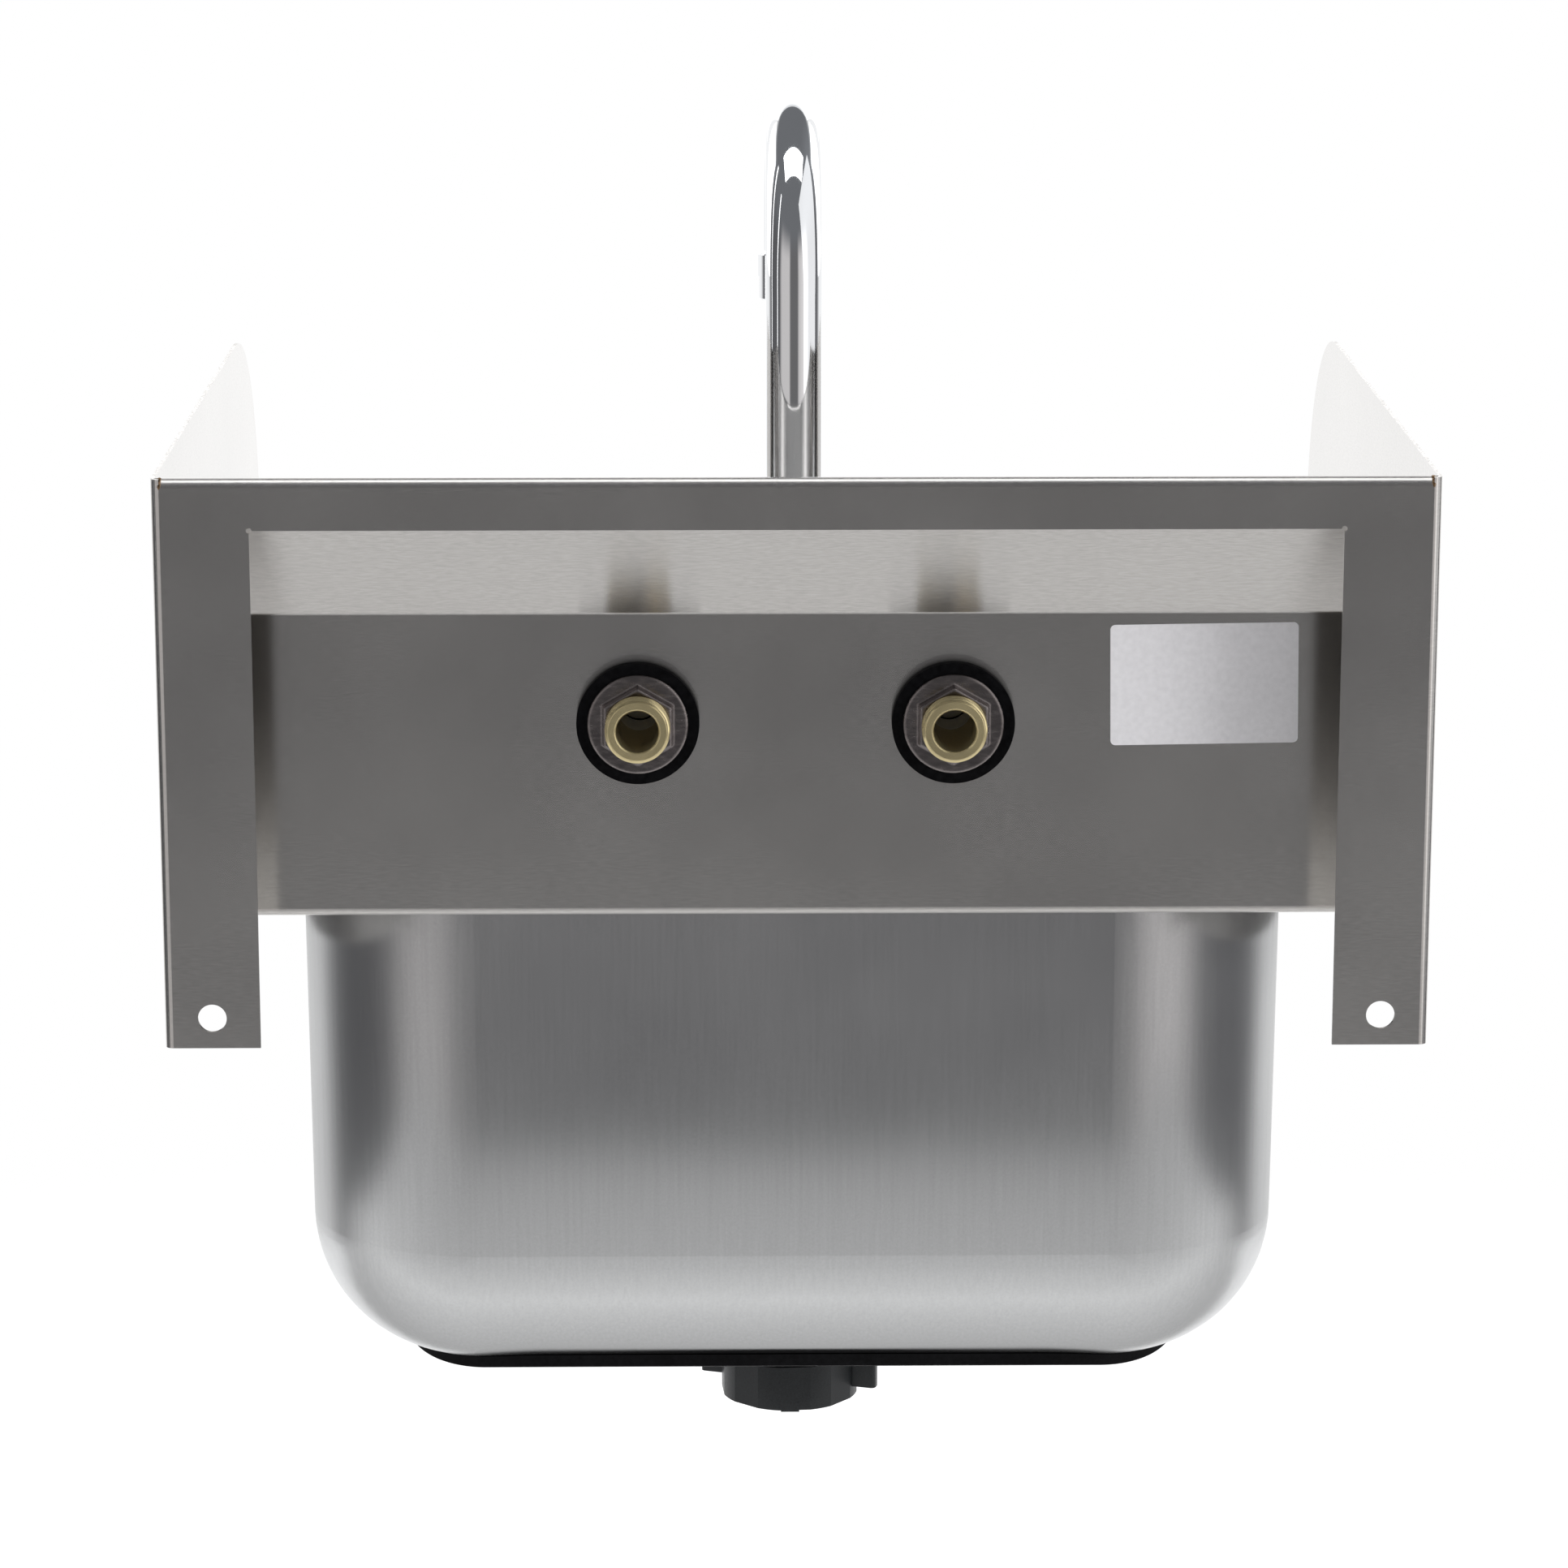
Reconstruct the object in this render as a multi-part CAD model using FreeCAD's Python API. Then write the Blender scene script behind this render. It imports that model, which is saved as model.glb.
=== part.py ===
"""Wall-hung stainless hand-wash sink with side splashes, a swivelling gooseneck tap and a strainer waste.

Millimetres. The origin lies midway between the two wall-screw holes, on the wall plane.
+X is to the right of a person at the sink, +Y points into the wall and +Z points up.
"""
import FreeCAD
import Part
import math
import os

Vector = FreeCAD.Vector
UP = Vector(0, 0, 1)
FORWARD = Vector(0, -1, 0)

# Sheet-metal body
SHEET = 1.2              # thickness of every steel sheet
BEND_R = 1.5             # inside radius of the folds
WIDTH = 397.0            # over the two side splashes
DEPTH = 360.0            # wall plane to the face of the front apron
SIDE_H = 181.0           # height of a side splash
SIDE_CORNER_R = 80.0     # rounded top front corner of a side splash
FLANGE_W = 30.0          # wall flange folded in from each side splash
HOLE_EDGE = 15.0         # wall-screw hole to the outer edge of its flange
HOLE_UP = 9.7            # wall-screw hole above the foot of its flange
SCREW_HOLE_D = 9.0
RAIL_H = 16.0            # wall flange along the top of the back splash
SHELF_LEAN = 34.8        # degrees from upright, sloping shelf below the rail
PANEL_SETBACK = 37.0     # rear face of the back splash in front of the wall plane
APRON_H = 34.1           # deck above the foot of the apron
HEM = 12.0               # folded foot of the apron
CORNER_RELIEF_R = 0.9    # hole where a wall flange meets the rail
SEAM = 0.15              # gap along a welded seam

# Bowl and its damping pad
BOWL_W = 323.5           # opening across, below the rolled lip
BOWL_L = 276.0           # opening front to back
BOWL_R = 58.0            # plan corners
BOWL_DEPTH = 169.1       # deck to the edge of the floor
BOWL_DRAFT = 0.6         # degrees
FLOOR_R = 48.0           # radius between wall and floor
LIP_R = 5.0              # rolled lip
LIP_FLAT = 4.0           # flat of the lip outside its roll
REAR_STRIP = 8.0         # deck left between the back splash and the lip
DISH_MARGIN = 4.0        # flat floor between the draining dish and the rounded walls
DISH_FALL = 3.0
SEAT_MARGIN = 3.0        # flat seat beyond the strainer's rim
PAD_SIDE_INSET = 28.75   # pad inside the bowl's opening, at its sides
PAD_END_INSET = 27.0     # the same at its front and back
PAD_R = 52.0
PAD_T = 3.6
GLUE = 0.2               # film between the pad and the bowl
PAD_HOLE_GAP = 6.0       # bare ring of steel round the waste flange

# Waste under the bowl
WASTE_HOLE_R = 26.0
STRAINER_RIM = 9.0       # strainer over the edge of the hole
STRAINER_T = 1.5
STRAINER_CUP_FIT = 2.0   # strainer's cup inside the hole
STRAINER_CUP_DROP = 6.0
STRAINER_HOLE_R = 2.8
STRAINER_HOLE_INSET = 6.5    # outer ring of drain holes inside the cup
STRAINER_RING_STEP = 7.0     # outer to inner ring of drain holes
STRAINER_HOLES = 6           # inner ring; the outer has twice as many
STRAINER_SEAL_T = 1.0
WASTE_SEAL_T = 3.0
WASTE_RIM = 8.0          # flange of the waste body over the edge of the hole
WASTE_FLANGE_T = 4.0
WASTE_CUP_H = 12.0
WASTE_WALL = 2.6
OUTLET_R = 16.3          # clears the trap's pipe
TAIL_WALL = 4.65         # outlet to the crests of its pipe thread
TAIL_LENGTH = 16.6
BOSS_R = 6.5
BOSS_H = 10.0
SPOKES = 3
SPOKE_T = 3.0
INSERT_R = 4.6
STRAINER_SCREW_R = 3.0
STRAINER_SCREW_HEAD_R = 5.6
STRAINER_SCREW_HEAD_H = 2.6
STRAINER_SLOT_W = 1.5
STRAINER_SLOT_DEPTH = 1.3
WASTE_NUT_WALL = 3.4     # thread crests to the corners of the nut
WASTE_NUT_LIP = 3.0
WASTE_NUT_SIDES = 8
WASTE_NUT_FACET = 0.6    # depth of a flat between two edges
CONE_SEAL_H = 5.0
WING_REACH = 8.2
WING_T = 5.0
WING_H = 12.0
WING_UP = 3.9            # foot of a wing above the foot of the nut
WING_TURN = -18.0        # degrees
LUG_W = 6.5              # stop at the foot of the nut
LUG_H = 0.6

# Tap
SHANK_SPACING = 100.0
SHANK_UP = 62.4          # shank axis above the deck
TAP_REACH = 42.0         # face of the back splash to the spout's axis
SHANK_MAJOR_R = 10.335   # pipe thread, over its crests
SHANK_CREST = 0.435      # crests above mid flank
SHANK_WALL = 3.2         # mid flank to the bore
SHANK_HOLE_FIT = 0.9     # panel hole round the thread
SHANK_ENGAGED = 15.0     # screwed into the tap body
SHANK_FREE = 7.2         # bare thread behind the locknut
THREAD_FIT = 0.05
FRONT_GASKET_R = 21.0
FRONT_GASKET_T = 1.5
REAR_WASHER_RIM = 3.5    # washer beyond the locknut
REAR_WASHER_T = 3.5
WASHER_FIT = 0.12        # washers slide over the thread crests
LOCKNUT_FLANGE_W = 4.8   # flange beyond the flats
LOCKNUT_FLANGE_T = 1.2
LOCKNUT_EDGE = 0.4       # bevel of the flange
LOCKNUT_WALL = 1.3       # thread to the flats, at the flange
LOCKNUT_HEX_H = 3.5
LOCKNUT_DRAFT = 0.5      # loss of half the width across flats, at the rim
LOCKNUT_ROUND = 0.35     # rounded rim
ESCUTCHEON_R = 24.0
ESCUTCHEON_H = 8.0
ESCUTCHEON_RIM = 2.0     # straight edge below the dome
ESCUTCHEON_LAND = 1.2    # flat round the arm
ESCUTCHEON_CROWN = 1.5   # bulge of the dome
SLIP_FIT = 0.15
ARM_WALL = 4.5
ARM_LENGTH = 60.0        # gasket to the seat of the headwork
BRIDGE_R = 12.5
WATERWAY_R = 5.5
CHAMBER_R = 10.5
CHAMBER_DEPTH = 30.0
CENTRE_STEP = 2.0        # ball-footed boss beyond the neck
CENTRE_H = 20.0
CENTRE_EDGE = 1.0
CAST_R = 3.0             # fillets of the casting
NECK_WALL = 2.95
NECK_H = 14.0
SOCKET_DEPTH = 23.0

# Headworks and handles
HEADWORK_WALL = 2.0
HEADWORK_HEX = 24.0
HEADWORK_HEX_H = 5.0
HEADWORK_NECK_R = 8.0
HEADWORK_NECK_H = 5.0
STEM_R = 4.0
STEM_LENGTH = 12.0       # stem beyond the headwork's neck
STEM_FOOT_H = 3.0
RUNNING_FIT = 0.05
DISC_T = 3.2
DISC_GAP = 0.03
SEAT_SEAL_T = 2.5
PORT_R = 2.4
PORT_INSET = 1.25        # port inside the edge of its disc
HUB_GAP = 0.75           # hub round the corners of the headwork
HUB_TAPER = 2.0          # loss of radius towards the front
HUB_SKIRT = 5.0          # straight skirt
HUB_EDGE = 3.0           # rounded front edge
HANDLE_WEB = 2.6         # floor of the hub that the screw clamps to the stem
HUB_WALL = 2.9
HUB_CLEAR = 0.6          # skirt of the hub off the arm's face
BUTTON_R = 8.0
BUTTON_T = 3.4
BUTTON_CROWN = 0.8
HANDLE_SCREW_R = 2.0
HANDLE_SCREW_HEAD_R = 3.8
HANDLE_SCREW_HEAD_H = 2.4
HANDLE_SCREW_LENGTH = 9.0
LEVER_REACH = 72.0       # handle axis to the lever's tip
LEVER_WAIST = 30.0       # handle axis to the lever's waist
LEVER_ROOT_W = 13.0
LEVER_WAIST_W = 10.5
LEVER_TIP_W = 17.0
LEVER_ROOT_T = 11.0
LEVER_WAIST_T = 8.0
LEVER_TIP_T = 5.0
LEVER_UP = 14.0          # lever's middle in front of the hub's skirt
LEVER_RISE = 5.0         # tip in front of the root

# Gooseneck
TUBE_R = 9.0
TUBE_WALL = 1.0
BRAZE_FIT = 0.03
COLLAR_WALL = 3.0
COLLAR_SEAT = 4.0        # step that the tube stands on
COLLAR_FLANGE_INSET = 0.6    # flange inside the neck
COLLAR_FLANGE_T = 2.4
AXIAL_FIT = 0.1
O_RING_R = 0.98
O_RING_STATIONS = (7.0, 14.0)
SPOUT_NUT_WALL = 3.0     # thread to the flats
SPOUT_NUT_GAP = 1.0      # nut above the boss
SPOUT_NUT_LIP = 3.4
SPOUT_NUT_TUBE_FIT = 0.4
RISER_H = 131.4          # tap axis to the centre of the arch
ARCH_R = 49.0
OUTLET_RUN = 6.0         # straight tube after the arch
AERATOR_SHELL = 2.0      # housing outside the tube
AERATOR_H = 16.0
AERATOR_GRIP = 6.0       # tube held inside the housing
AERATOR_SHOULDER = 1.5
AERATOR_GASKET_T = 1.5
AERATOR_WALL = 1.4
AERATOR_RECESS = 1.0
AERATOR_FLAT = 0.6
AERATOR_HOLE_R = 0.9
AERATOR_HOLE_INSET = 3.0     # outer ring of jets inside the insert
AERATOR_RING_STEP = 3.2      # outer to inner ring of jets
AERATOR_HOLES = 6            # inner ring; the outer has twice as many

# Places that follow from the sizes above
FOOT_Z = -HOLE_UP
TOP_Z = FOOT_Z + SIDE_H
DECK_Z = FOOT_Z + APRON_H
FLOOR_Z = DECK_Z - BOWL_DEPTH
SEAT_Z = FLOOR_Z - DISH_FALL
WALL_LEAN = BOWL_DEPTH * math.tan(math.radians(BOWL_DRAFT))
DISH_R = min(BOWL_W, BOWL_L) / 2 - WALL_LEAN - FLOOR_R - DISH_MARGIN
SPLASH_Y = -(PANEL_SETBACK + SHEET)
SHELF_TOP = TOP_Z + (BEND_R + SHEET) * (1 / math.tan(math.radians(SHELF_LEAN) / 2) - 1)
SHELF_FOOT = SHELF_TOP + SPLASH_Y / math.tan(math.radians(SHELF_LEAN))
BOWL_Y = SPLASH_Y - REAR_STRIP - LIP_FLAT - LIP_R - BOWL_L / 2
TAP_Y = SPLASH_Y - TAP_REACH
TAP_Z = DECK_Z + SHANK_UP
SIDE_X = WIDTH / 2 - SHEET
STRAINER_R = WASTE_HOLE_R + STRAINER_RIM
STRAINER_CUP_R = WASTE_HOLE_R - STRAINER_CUP_FIT
SEAT_R = STRAINER_R + SEAT_MARGIN
WASTE_FLANGE_R = WASTE_HOLE_R + WASTE_RIM
WASTE_CUP_R = WASTE_HOLE_R + WASTE_WALL
TAIL_R = OUTLET_R + TAIL_WALL
WASTE_NUT_R = TAIL_R + WASTE_NUT_WALL
SHANK_PITCH_R = SHANK_MAJOR_R - SHANK_CREST
SHANK_BORE_R = SHANK_PITCH_R - SHANK_WALL
SHANK_HOLE_R = SHANK_MAJOR_R + SHANK_HOLE_FIT
LOCKNUT_HEX = 2 * (SHANK_PITCH_R + LOCKNUT_WALL)
LOCKNUT_FLANGE_R = LOCKNUT_HEX / 2 + LOCKNUT_FLANGE_W
REAR_WASHER_R = LOCKNUT_FLANGE_R + REAR_WASHER_RIM
ARM_R = CHAMBER_R + ARM_WALL
COLLAR_R = TUBE_R + COLLAR_WALL
ARM_SEAT = FRONT_GASKET_T + ARM_LENGTH
SOCKET_R = COLLAR_R + RUNNING_FIT
NECK_R = SOCKET_R + NECK_WALL
CENTRE_R = NECK_R + CENTRE_STEP
COLLAR_FLANGE_R = NECK_R - COLLAR_FLANGE_INSET
SPOUT_NUT_HEX = 2 * (NECK_R + SPOUT_NUT_WALL)
AERATOR_R = TUBE_R + AERATOR_SHELL
HUB_R = HEADWORK_HEX / math.sqrt(3) + HUB_GAP + HUB_WALL
HUB_TOP_R = HUB_R - HUB_TAPER
NECK_TOP = CENTRE_H + NECK_H
HUB_BACK = ARM_SEAT + HUB_CLEAR
STEM_TOP = ARM_SEAT + HEADWORK_HEX_H + HEADWORK_NECK_H + STEM_LENGTH
OUTLET_Y = TAP_Y - 2 * ARCH_R
ARCH_Z = TAP_Z + RISER_H
AERATOR_TOP_Z = ARCH_Z - OUTLET_RUN + AERATOR_GRIP
SIDES = {"hot": -1, "cold": 1}


def turned(profile, base=Vector(0, 0, 0), along=UP):
    """Solid of revolution; profile is a closed ring of (radius, station) points, stations along the axis.

    A third value at a point bulges the run to the next point into an arc, outwards on its right-hand side.
    """
    edges = []
    for (radius, station, *bulge), (next_radius, next_station, *_) in zip(profile, profile[1:] + profile[:1]):
        start = Vector(radius, 0, station)
        end = Vector(next_radius, 0, next_station)
        if bulge:
            run = (end - start).normalize()
            middle = (start + end) / 2 + Vector(run.z, 0, -run.x) * bulge[0]
            edges.append(Part.Arc(start, middle, end).toShape())
        else:
            edges.append(Part.LineSegment(start, end).toShape())
    solid = Part.Face(Part.Wire(edges)).revolve(Vector(0, 0, 0), UP, 360)
    solid.Placement = FreeCAD.Placement(base, FreeCAD.Rotation(UP, along))
    return solid


def ring(inner, outer, start, end):
    """Profile of a plain ring or, with inner at nought, of a rod."""
    return [(inner, start), (outer, start), (outer, end), (inner, end)]


def rod(radius, start, end, base, along):
    return turned(ring(0, radius, start, end), base, along)


def joined(*shapes):
    return shapes[0].fuse(list(shapes[1:])).removeSplitter()


def polar(count, radius, turn=0.0):
    """Places spaced evenly round a circle, as (x, y) pairs."""
    angles = [math.radians(turn + 360.0 * i / count) for i in range(count)]
    return [(radius * math.cos(a), radius * math.sin(a)) for a in angles]


def hole_rings(hole_r, outer_r, step, inner_count, start, end, base):
    """Two rings of upright holes; the outer ring has twice as many as the inner."""
    holes = []
    for radius, count in ((outer_r - step, inner_count), (outer_r, 2 * inner_count)):
        for x, y in polar(count, radius):
            holes.append(rod(hole_r, start, end, base + Vector(x, y, 0), UP))
    return holes


def round_edge(radius):
    """Bulge of a quarter-round edge of that radius."""
    return radius * (1 - math.sqrt(0.5))


def crown_bulge(radius, rise):
    """Bulge of half a spherical crown, from its edge to its middle."""
    sphere = (radius ** 2 + rise ** 2) / (2 * rise)
    chord = math.hypot(radius, rise)
    return sphere - math.sqrt(sphere ** 2 - chord ** 2 / 4)


def hex_prism(flats, start, end, base, along, end_flats=None, turn=0.0):
    """Hexagon bar by its width across flats, tapering to end_flats."""
    wires = []
    for width, station in ((flats, start), (end_flats or flats, end)):
        corners = [Vector(x, y, station) for x, y in polar(6, width / math.sqrt(3), turn)]
        wires.append(Part.makePolygon(corners + corners[:1]))
    solid = Part.makeLoft(wires, True, True)
    solid.Placement = FreeCAD.Placement(base, FreeCAD.Rotation(UP, along))
    return solid


def rounded_chain(points, radii):
    """Straight runs joined by tangent arcs; radii has one value for each inner point."""
    edges = []
    start = points[0]
    for before, corner, after, radius in zip(points, points[1:], points[2:], radii):
        back = (before - corner).normalize()
        ahead = (after - corner).normalize()
        half = back.getAngle(ahead) / 2
        bisector = (back + ahead).normalize()
        centre = corner + bisector * (radius / math.sin(half))
        enter = corner + back * (radius / math.tan(half))
        leave = corner + ahead * (radius / math.tan(half))
        edges.append(Part.LineSegment(start, enter).toShape())
        edges.append(Part.Arc(enter, centre - bisector * radius, leave).toShape())
        start = leave
    edges.append(Part.LineSegment(start, points[-1]).toShape())
    return edges


def bent_sheet(path, length):
    """Folded sheet in the XY plane, run along Z; path is one face and the sheet lies to its left."""
    runs = [(b - a).normalize() for a, b in zip(path, path[1:])]
    lefts = [Vector(-run.y, run.x, 0) * SHEET for run in runs]
    other = [path[0] + lefts[0]]
    face_radii = []
    other_radii = []
    for corner, run, after, left, left_after in zip(path[1:], runs, runs[1:], lefts, lefts[1:]):
        bisector = left + left_after
        other.append(corner + bisector * (SHEET ** 2 / left.dot(bisector)))
        turns_left = run.cross(after).z > 0
        face_radii.append(BEND_R + SHEET if turns_left else BEND_R)
        other_radii.append(BEND_R if turns_left else BEND_R + SHEET)
    other.append(path[-1] + lefts[-1])
    edges = rounded_chain(path, face_radii)
    edges.append(Part.LineSegment(path[-1], other[-1]).toShape())
    edges += rounded_chain(other[::-1], other_radii[::-1])
    edges.append(Part.LineSegment(other[0], path[0]).toShape())
    return Part.Face(Part.Wire(Part.__sortEdges__(edges))).extrude(Vector(0, 0, length))


def rounded_rectangle(width, length, radius, z):
    """Outline on the bowl's centre at height z."""
    x = width / 2
    y = length / 2
    corners = [Vector(a, b, 0) for a, b in ((-x, y), (-x, -y), (x, -y), (x, y))]
    middle = Vector(0, y, 0)
    wire = Part.Wire(rounded_chain([middle] + corners + [middle], [radius] * 4))
    wire.translate(Vector(0, BOWL_Y, z))
    return wire


# Sheet-metal body

def lip_outline(grow, z):
    margin = 2 * (LIP_R + LIP_FLAT + grow)
    return rounded_rectangle(BOWL_W + margin, BOWL_L + margin, BOWL_R + margin / 2, z)


def deck_and_backsplash():
    """One folded sheet: wall rail, sloping shelf, back splash, deck, apron and hem."""
    path = [
        Vector(0, TOP_Z - RAIL_H, 0),
        Vector(0, SHELF_TOP, 0),
        Vector(SPLASH_Y, SHELF_FOOT, 0),
        Vector(SPLASH_Y, DECK_Z, 0),
        Vector(-DEPTH, DECK_Z, 0),
        Vector(-DEPTH, FOOT_Z, 0),
        Vector(-DEPTH + HEM, FOOT_Z, 0),
    ]
    sheet = bent_sheet(path, 2 * SIDE_X)
    sheet.rotate(Vector(0, 0, 0), Vector(1, 1, 1), 120)
    sheet.translate(Vector(-SIDE_X, 0, 0))
    cuts = [Part.Face(lip_outline(SEAM, DECK_Z - 2 * SHEET)).extrude(Vector(0, 0, 4 * SHEET))]
    for side in SIDES.values():
        base = Vector(side * SHANK_SPACING / 2, SPLASH_Y, TAP_Z)
        cuts.append(rod(SHANK_HOLE_R, -2 * SHEET, SHEET, base, FORWARD))
        cuts.append(mitre(side, SHEET + SEAM, SEAM))
        cuts.append(fold_room(side))
        cuts.append(corner_relief(side))
    return sheet.cut(cuts)


def mitre(side, thickness, grow):
    """The wall flange's share of the corner it makes with the top rail, and all below it."""
    outer = WIDTH / 2
    inner = outer - FLANGE_W - grow
    shoulder = TOP_Z - BEND_R - SHEET
    corners = [
        Vector(side * outer, 0, FOOT_Z),
        Vector(side * outer, 0, shoulder + grow),
        Vector(side * inner, 0, TOP_Z - RAIL_H + grow),
        Vector(side * inner, 0, FOOT_Z),
    ]
    return Part.Face(Part.makePolygon(corners + corners[:1])).extrude(Vector(0, -thickness, 0))


def fold_room(side):
    """Room that the fold between side splash and wall flange takes from the end of the top rail."""
    size = BEND_R + SHEET + SEAM
    corner = Vector(-size if side < 0 else 0, -size, 0)
    fold = Vector(side * (WIDTH / 2 - size), 0, FOOT_Z)
    return Part.makeBox(size, size, SIDE_H + SHEET, corner + fold)


def corner_relief(side):
    place = Vector(side * (WIDTH / 2 - FLANGE_W), 0, TOP_Z - RAIL_H)
    return rod(CORNER_RELIEF_R, -SHEET, 2 * SHEET, place, FORWARD)


def side_splash(side):
    """Side panel with its rounded top corner and its wall flange."""
    path = [
        Vector(WIDTH / 2, -DEPTH, 0),
        Vector(WIDTH / 2, 0, 0),
        Vector(WIDTH / 2 - FLANGE_W, 0, 0),
    ]
    sheet = bent_sheet(path, SIDE_H)
    sheet.translate(Vector(0, 0, FOOT_Z))
    top = Vector(0, 0, TOP_Z)
    outline = [
        Vector(0, 0, FOOT_Z),
        top,
        Vector(0, -DEPTH, TOP_Z),
        Vector(0, -DEPTH, FOOT_Z),
    ]
    edges = rounded_chain(outline[1:], [SIDE_CORNER_R])
    edges.append(Part.LineSegment(outline[-1], outline[0]).toShape())
    edges.append(Part.LineSegment(outline[0], top).toShape())
    sheet = sheet.common(Part.Face(Part.Wire(edges)).extrude(Vector(WIDTH, 0, 0)))
    flange_top = Part.makeBox(FLANGE_W - BEND_R - SHEET, SHEET, RAIL_H,
                              Vector(WIDTH / 2 - FLANGE_W, -SHEET, TOP_Z - RAIL_H))
    sheet = sheet.cut(flange_top.cut(mitre(1, SHEET, 0)))
    hole = Vector(WIDTH / 2 - HOLE_EDGE, 0, 0)
    sheet = sheet.cut([rod(SCREW_HOLE_D / 2, -SHEET, 2 * SHEET, hole, FORWARD), corner_relief(1)])
    if side < 0:
        sheet = sheet.mirror(Vector(0, 0, 0), Vector(1, 0, 0))
    return sheet


# Bowl, pad and waste

def bowl_form(grow, lip=None):
    """The room inside the bowl, grown outwards by grow; lip is the outline of the plate on its rim."""
    mouth = rounded_rectangle(BOWL_W + 2 * grow, BOWL_L + 2 * grow, BOWL_R + grow, DECK_Z)
    shrink = 2 * (grow - WALL_LEAN)
    floor = rounded_rectangle(BOWL_W + shrink, BOWL_L + shrink, BOWL_R + shrink / 2, FLOOR_Z - grow)
    form = Part.makeLoft([mouth, floor], True, True)
    floor_edges = [e for e in form.Edges if e.BoundBox.ZMax < FLOOR_Z - grow + SEAM]
    form = form.makeFillet(FLOOR_R + grow, floor_edges)
    dish = turned([
        (0, FLOOR_Z - grow + DISH_FALL),
        (DISH_R, FLOOR_Z - grow + DISH_FALL),
        (DISH_R, FLOOR_Z - grow),
        (SEAT_R, SEAT_Z - grow),
        (0, SEAT_Z - grow),
    ], Vector(0, BOWL_Y, 0))
    form = joined(form, dish)
    if lip is None:
        return form
    form = joined(form, Part.Face(lip).extrude(Vector(0, 0, 2 * LIP_R)))
    reach = Vector(BOWL_W / 2 + grow + SEAM, BOWL_L / 2 + grow + SEAM, SEAM)
    level = Vector(0, BOWL_Y, DECK_Z - grow)
    mouth_box = FreeCAD.BoundBox(level - reach, level + reach)
    rim = [e for e in form.Edges if mouth_box.isInside(e.BoundBox)]
    return form.makeFillet(LIP_R - grow, rim)


def bowl():
    """Deep-drawn bowl with rolled lip, dished floor and waste hole."""
    outside = bowl_form(SHEET, lip_outline(0, DECK_Z - SHEET))
    inside = bowl_form(0, lip_outline(LIP_R, DECK_Z))
    hole = rod(WASTE_HOLE_R, SEAT_Z - 2 * SHEET, SEAT_Z + SHEET, Vector(0, BOWL_Y, 0), UP)
    return outside.cut([inside, hole])


def damping_pad():
    """Rubber sheet that follows the underside of the floor, clear of the waste."""
    width = BOWL_W - 2 * PAD_SIDE_INSET
    length = BOWL_L - 2 * PAD_END_INSET
    outline = rounded_rectangle(width, length, PAD_R, SEAT_Z - 2 * FLOOR_R)
    blank = Part.Face(outline).extrude(Vector(0, 0, 2 * FLOOR_R + BOWL_DEPTH / 2))
    hole_r = WASTE_FLANGE_R + PAD_HOLE_GAP
    hole = rod(hole_r, SEAT_Z - FLOOR_R, FLOOR_Z, Vector(0, BOWL_Y, 0), UP)
    return bowl_form(SHEET + GLUE + PAD_T).common(blank).cut([bowl_form(SHEET + GLUE), hole])


WASTE_BASE = Vector(0, BOWL_Y, SEAT_Z)
STRAINER_LEVEL = STRAINER_SEAL_T + STRAINER_T
WASTE_TOP = -(SHEET + WASTE_SEAL_T)
CUP_FOOT = WASTE_TOP - WASTE_FLANGE_T - WASTE_CUP_H
TAIL_END = CUP_FOOT - TAIL_LENGTH
NUT_FOOT = TAIL_END - CONE_SEAL_H - WASTE_NUT_LIP
BOSS_TOP = STRAINER_SEAL_T - STRAINER_CUP_DROP
BOSS_FOOT = BOSS_TOP - BOSS_H


def strainer_plate():
    """Dished plate with rings of drain holes and a countersunk middle."""
    low = BOSS_TOP
    plate = turned([
        (STRAINER_SCREW_R + THREAD_FIT, low),
        (STRAINER_CUP_R - STRAINER_T, low),
        (STRAINER_CUP_R, low + STRAINER_T),
        (STRAINER_CUP_R, STRAINER_SEAL_T),
        (STRAINER_R, STRAINER_SEAL_T),
        (STRAINER_R - STRAINER_T, STRAINER_LEVEL),
        (STRAINER_CUP_R - STRAINER_T, STRAINER_LEVEL),
        (STRAINER_CUP_R - 2 * STRAINER_T, low + STRAINER_T),
        (STRAINER_SCREW_R + THREAD_FIT, low + STRAINER_T),
    ], WASTE_BASE)
    outer_ring = STRAINER_CUP_R - STRAINER_HOLE_INSET
    return plate.cut(hole_rings(STRAINER_HOLE_R, outer_ring, STRAINER_RING_STEP, STRAINER_HOLES,
                                low - STRAINER_T, low + 2 * STRAINER_T, WASTE_BASE))


def strainer_screw():
    """Oval-headed screw that draws the strainer and the waste body together."""
    seat = BOSS_TOP + STRAINER_T
    crown = seat + STRAINER_SCREW_HEAD_H
    edge = STRAINER_SCREW_HEAD_H / 2
    screw = turned([
        (0, BOSS_FOOT),
        (STRAINER_SCREW_R, BOSS_FOOT),
        (STRAINER_SCREW_R, seat),
        (STRAINER_SCREW_HEAD_R, seat),
        (STRAINER_SCREW_HEAD_R, crown - edge, round_edge(edge)),
        (STRAINER_SCREW_HEAD_R - edge, crown),
        (0, crown),
    ], WASTE_BASE)
    slot = Part.makeBox(2 * STRAINER_SCREW_HEAD_R, STRAINER_SLOT_W, STRAINER_SLOT_DEPTH)
    corner = Vector(-STRAINER_SCREW_HEAD_R, -STRAINER_SLOT_W / 2, crown - STRAINER_SLOT_DEPTH)
    slot.translate(WASTE_BASE + corner)
    return screw.cut(slot)


def strainer_seal():
    return turned(ring(WASTE_HOLE_R, STRAINER_R - STRAINER_T, 0, STRAINER_SEAL_T), WASTE_BASE)


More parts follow.
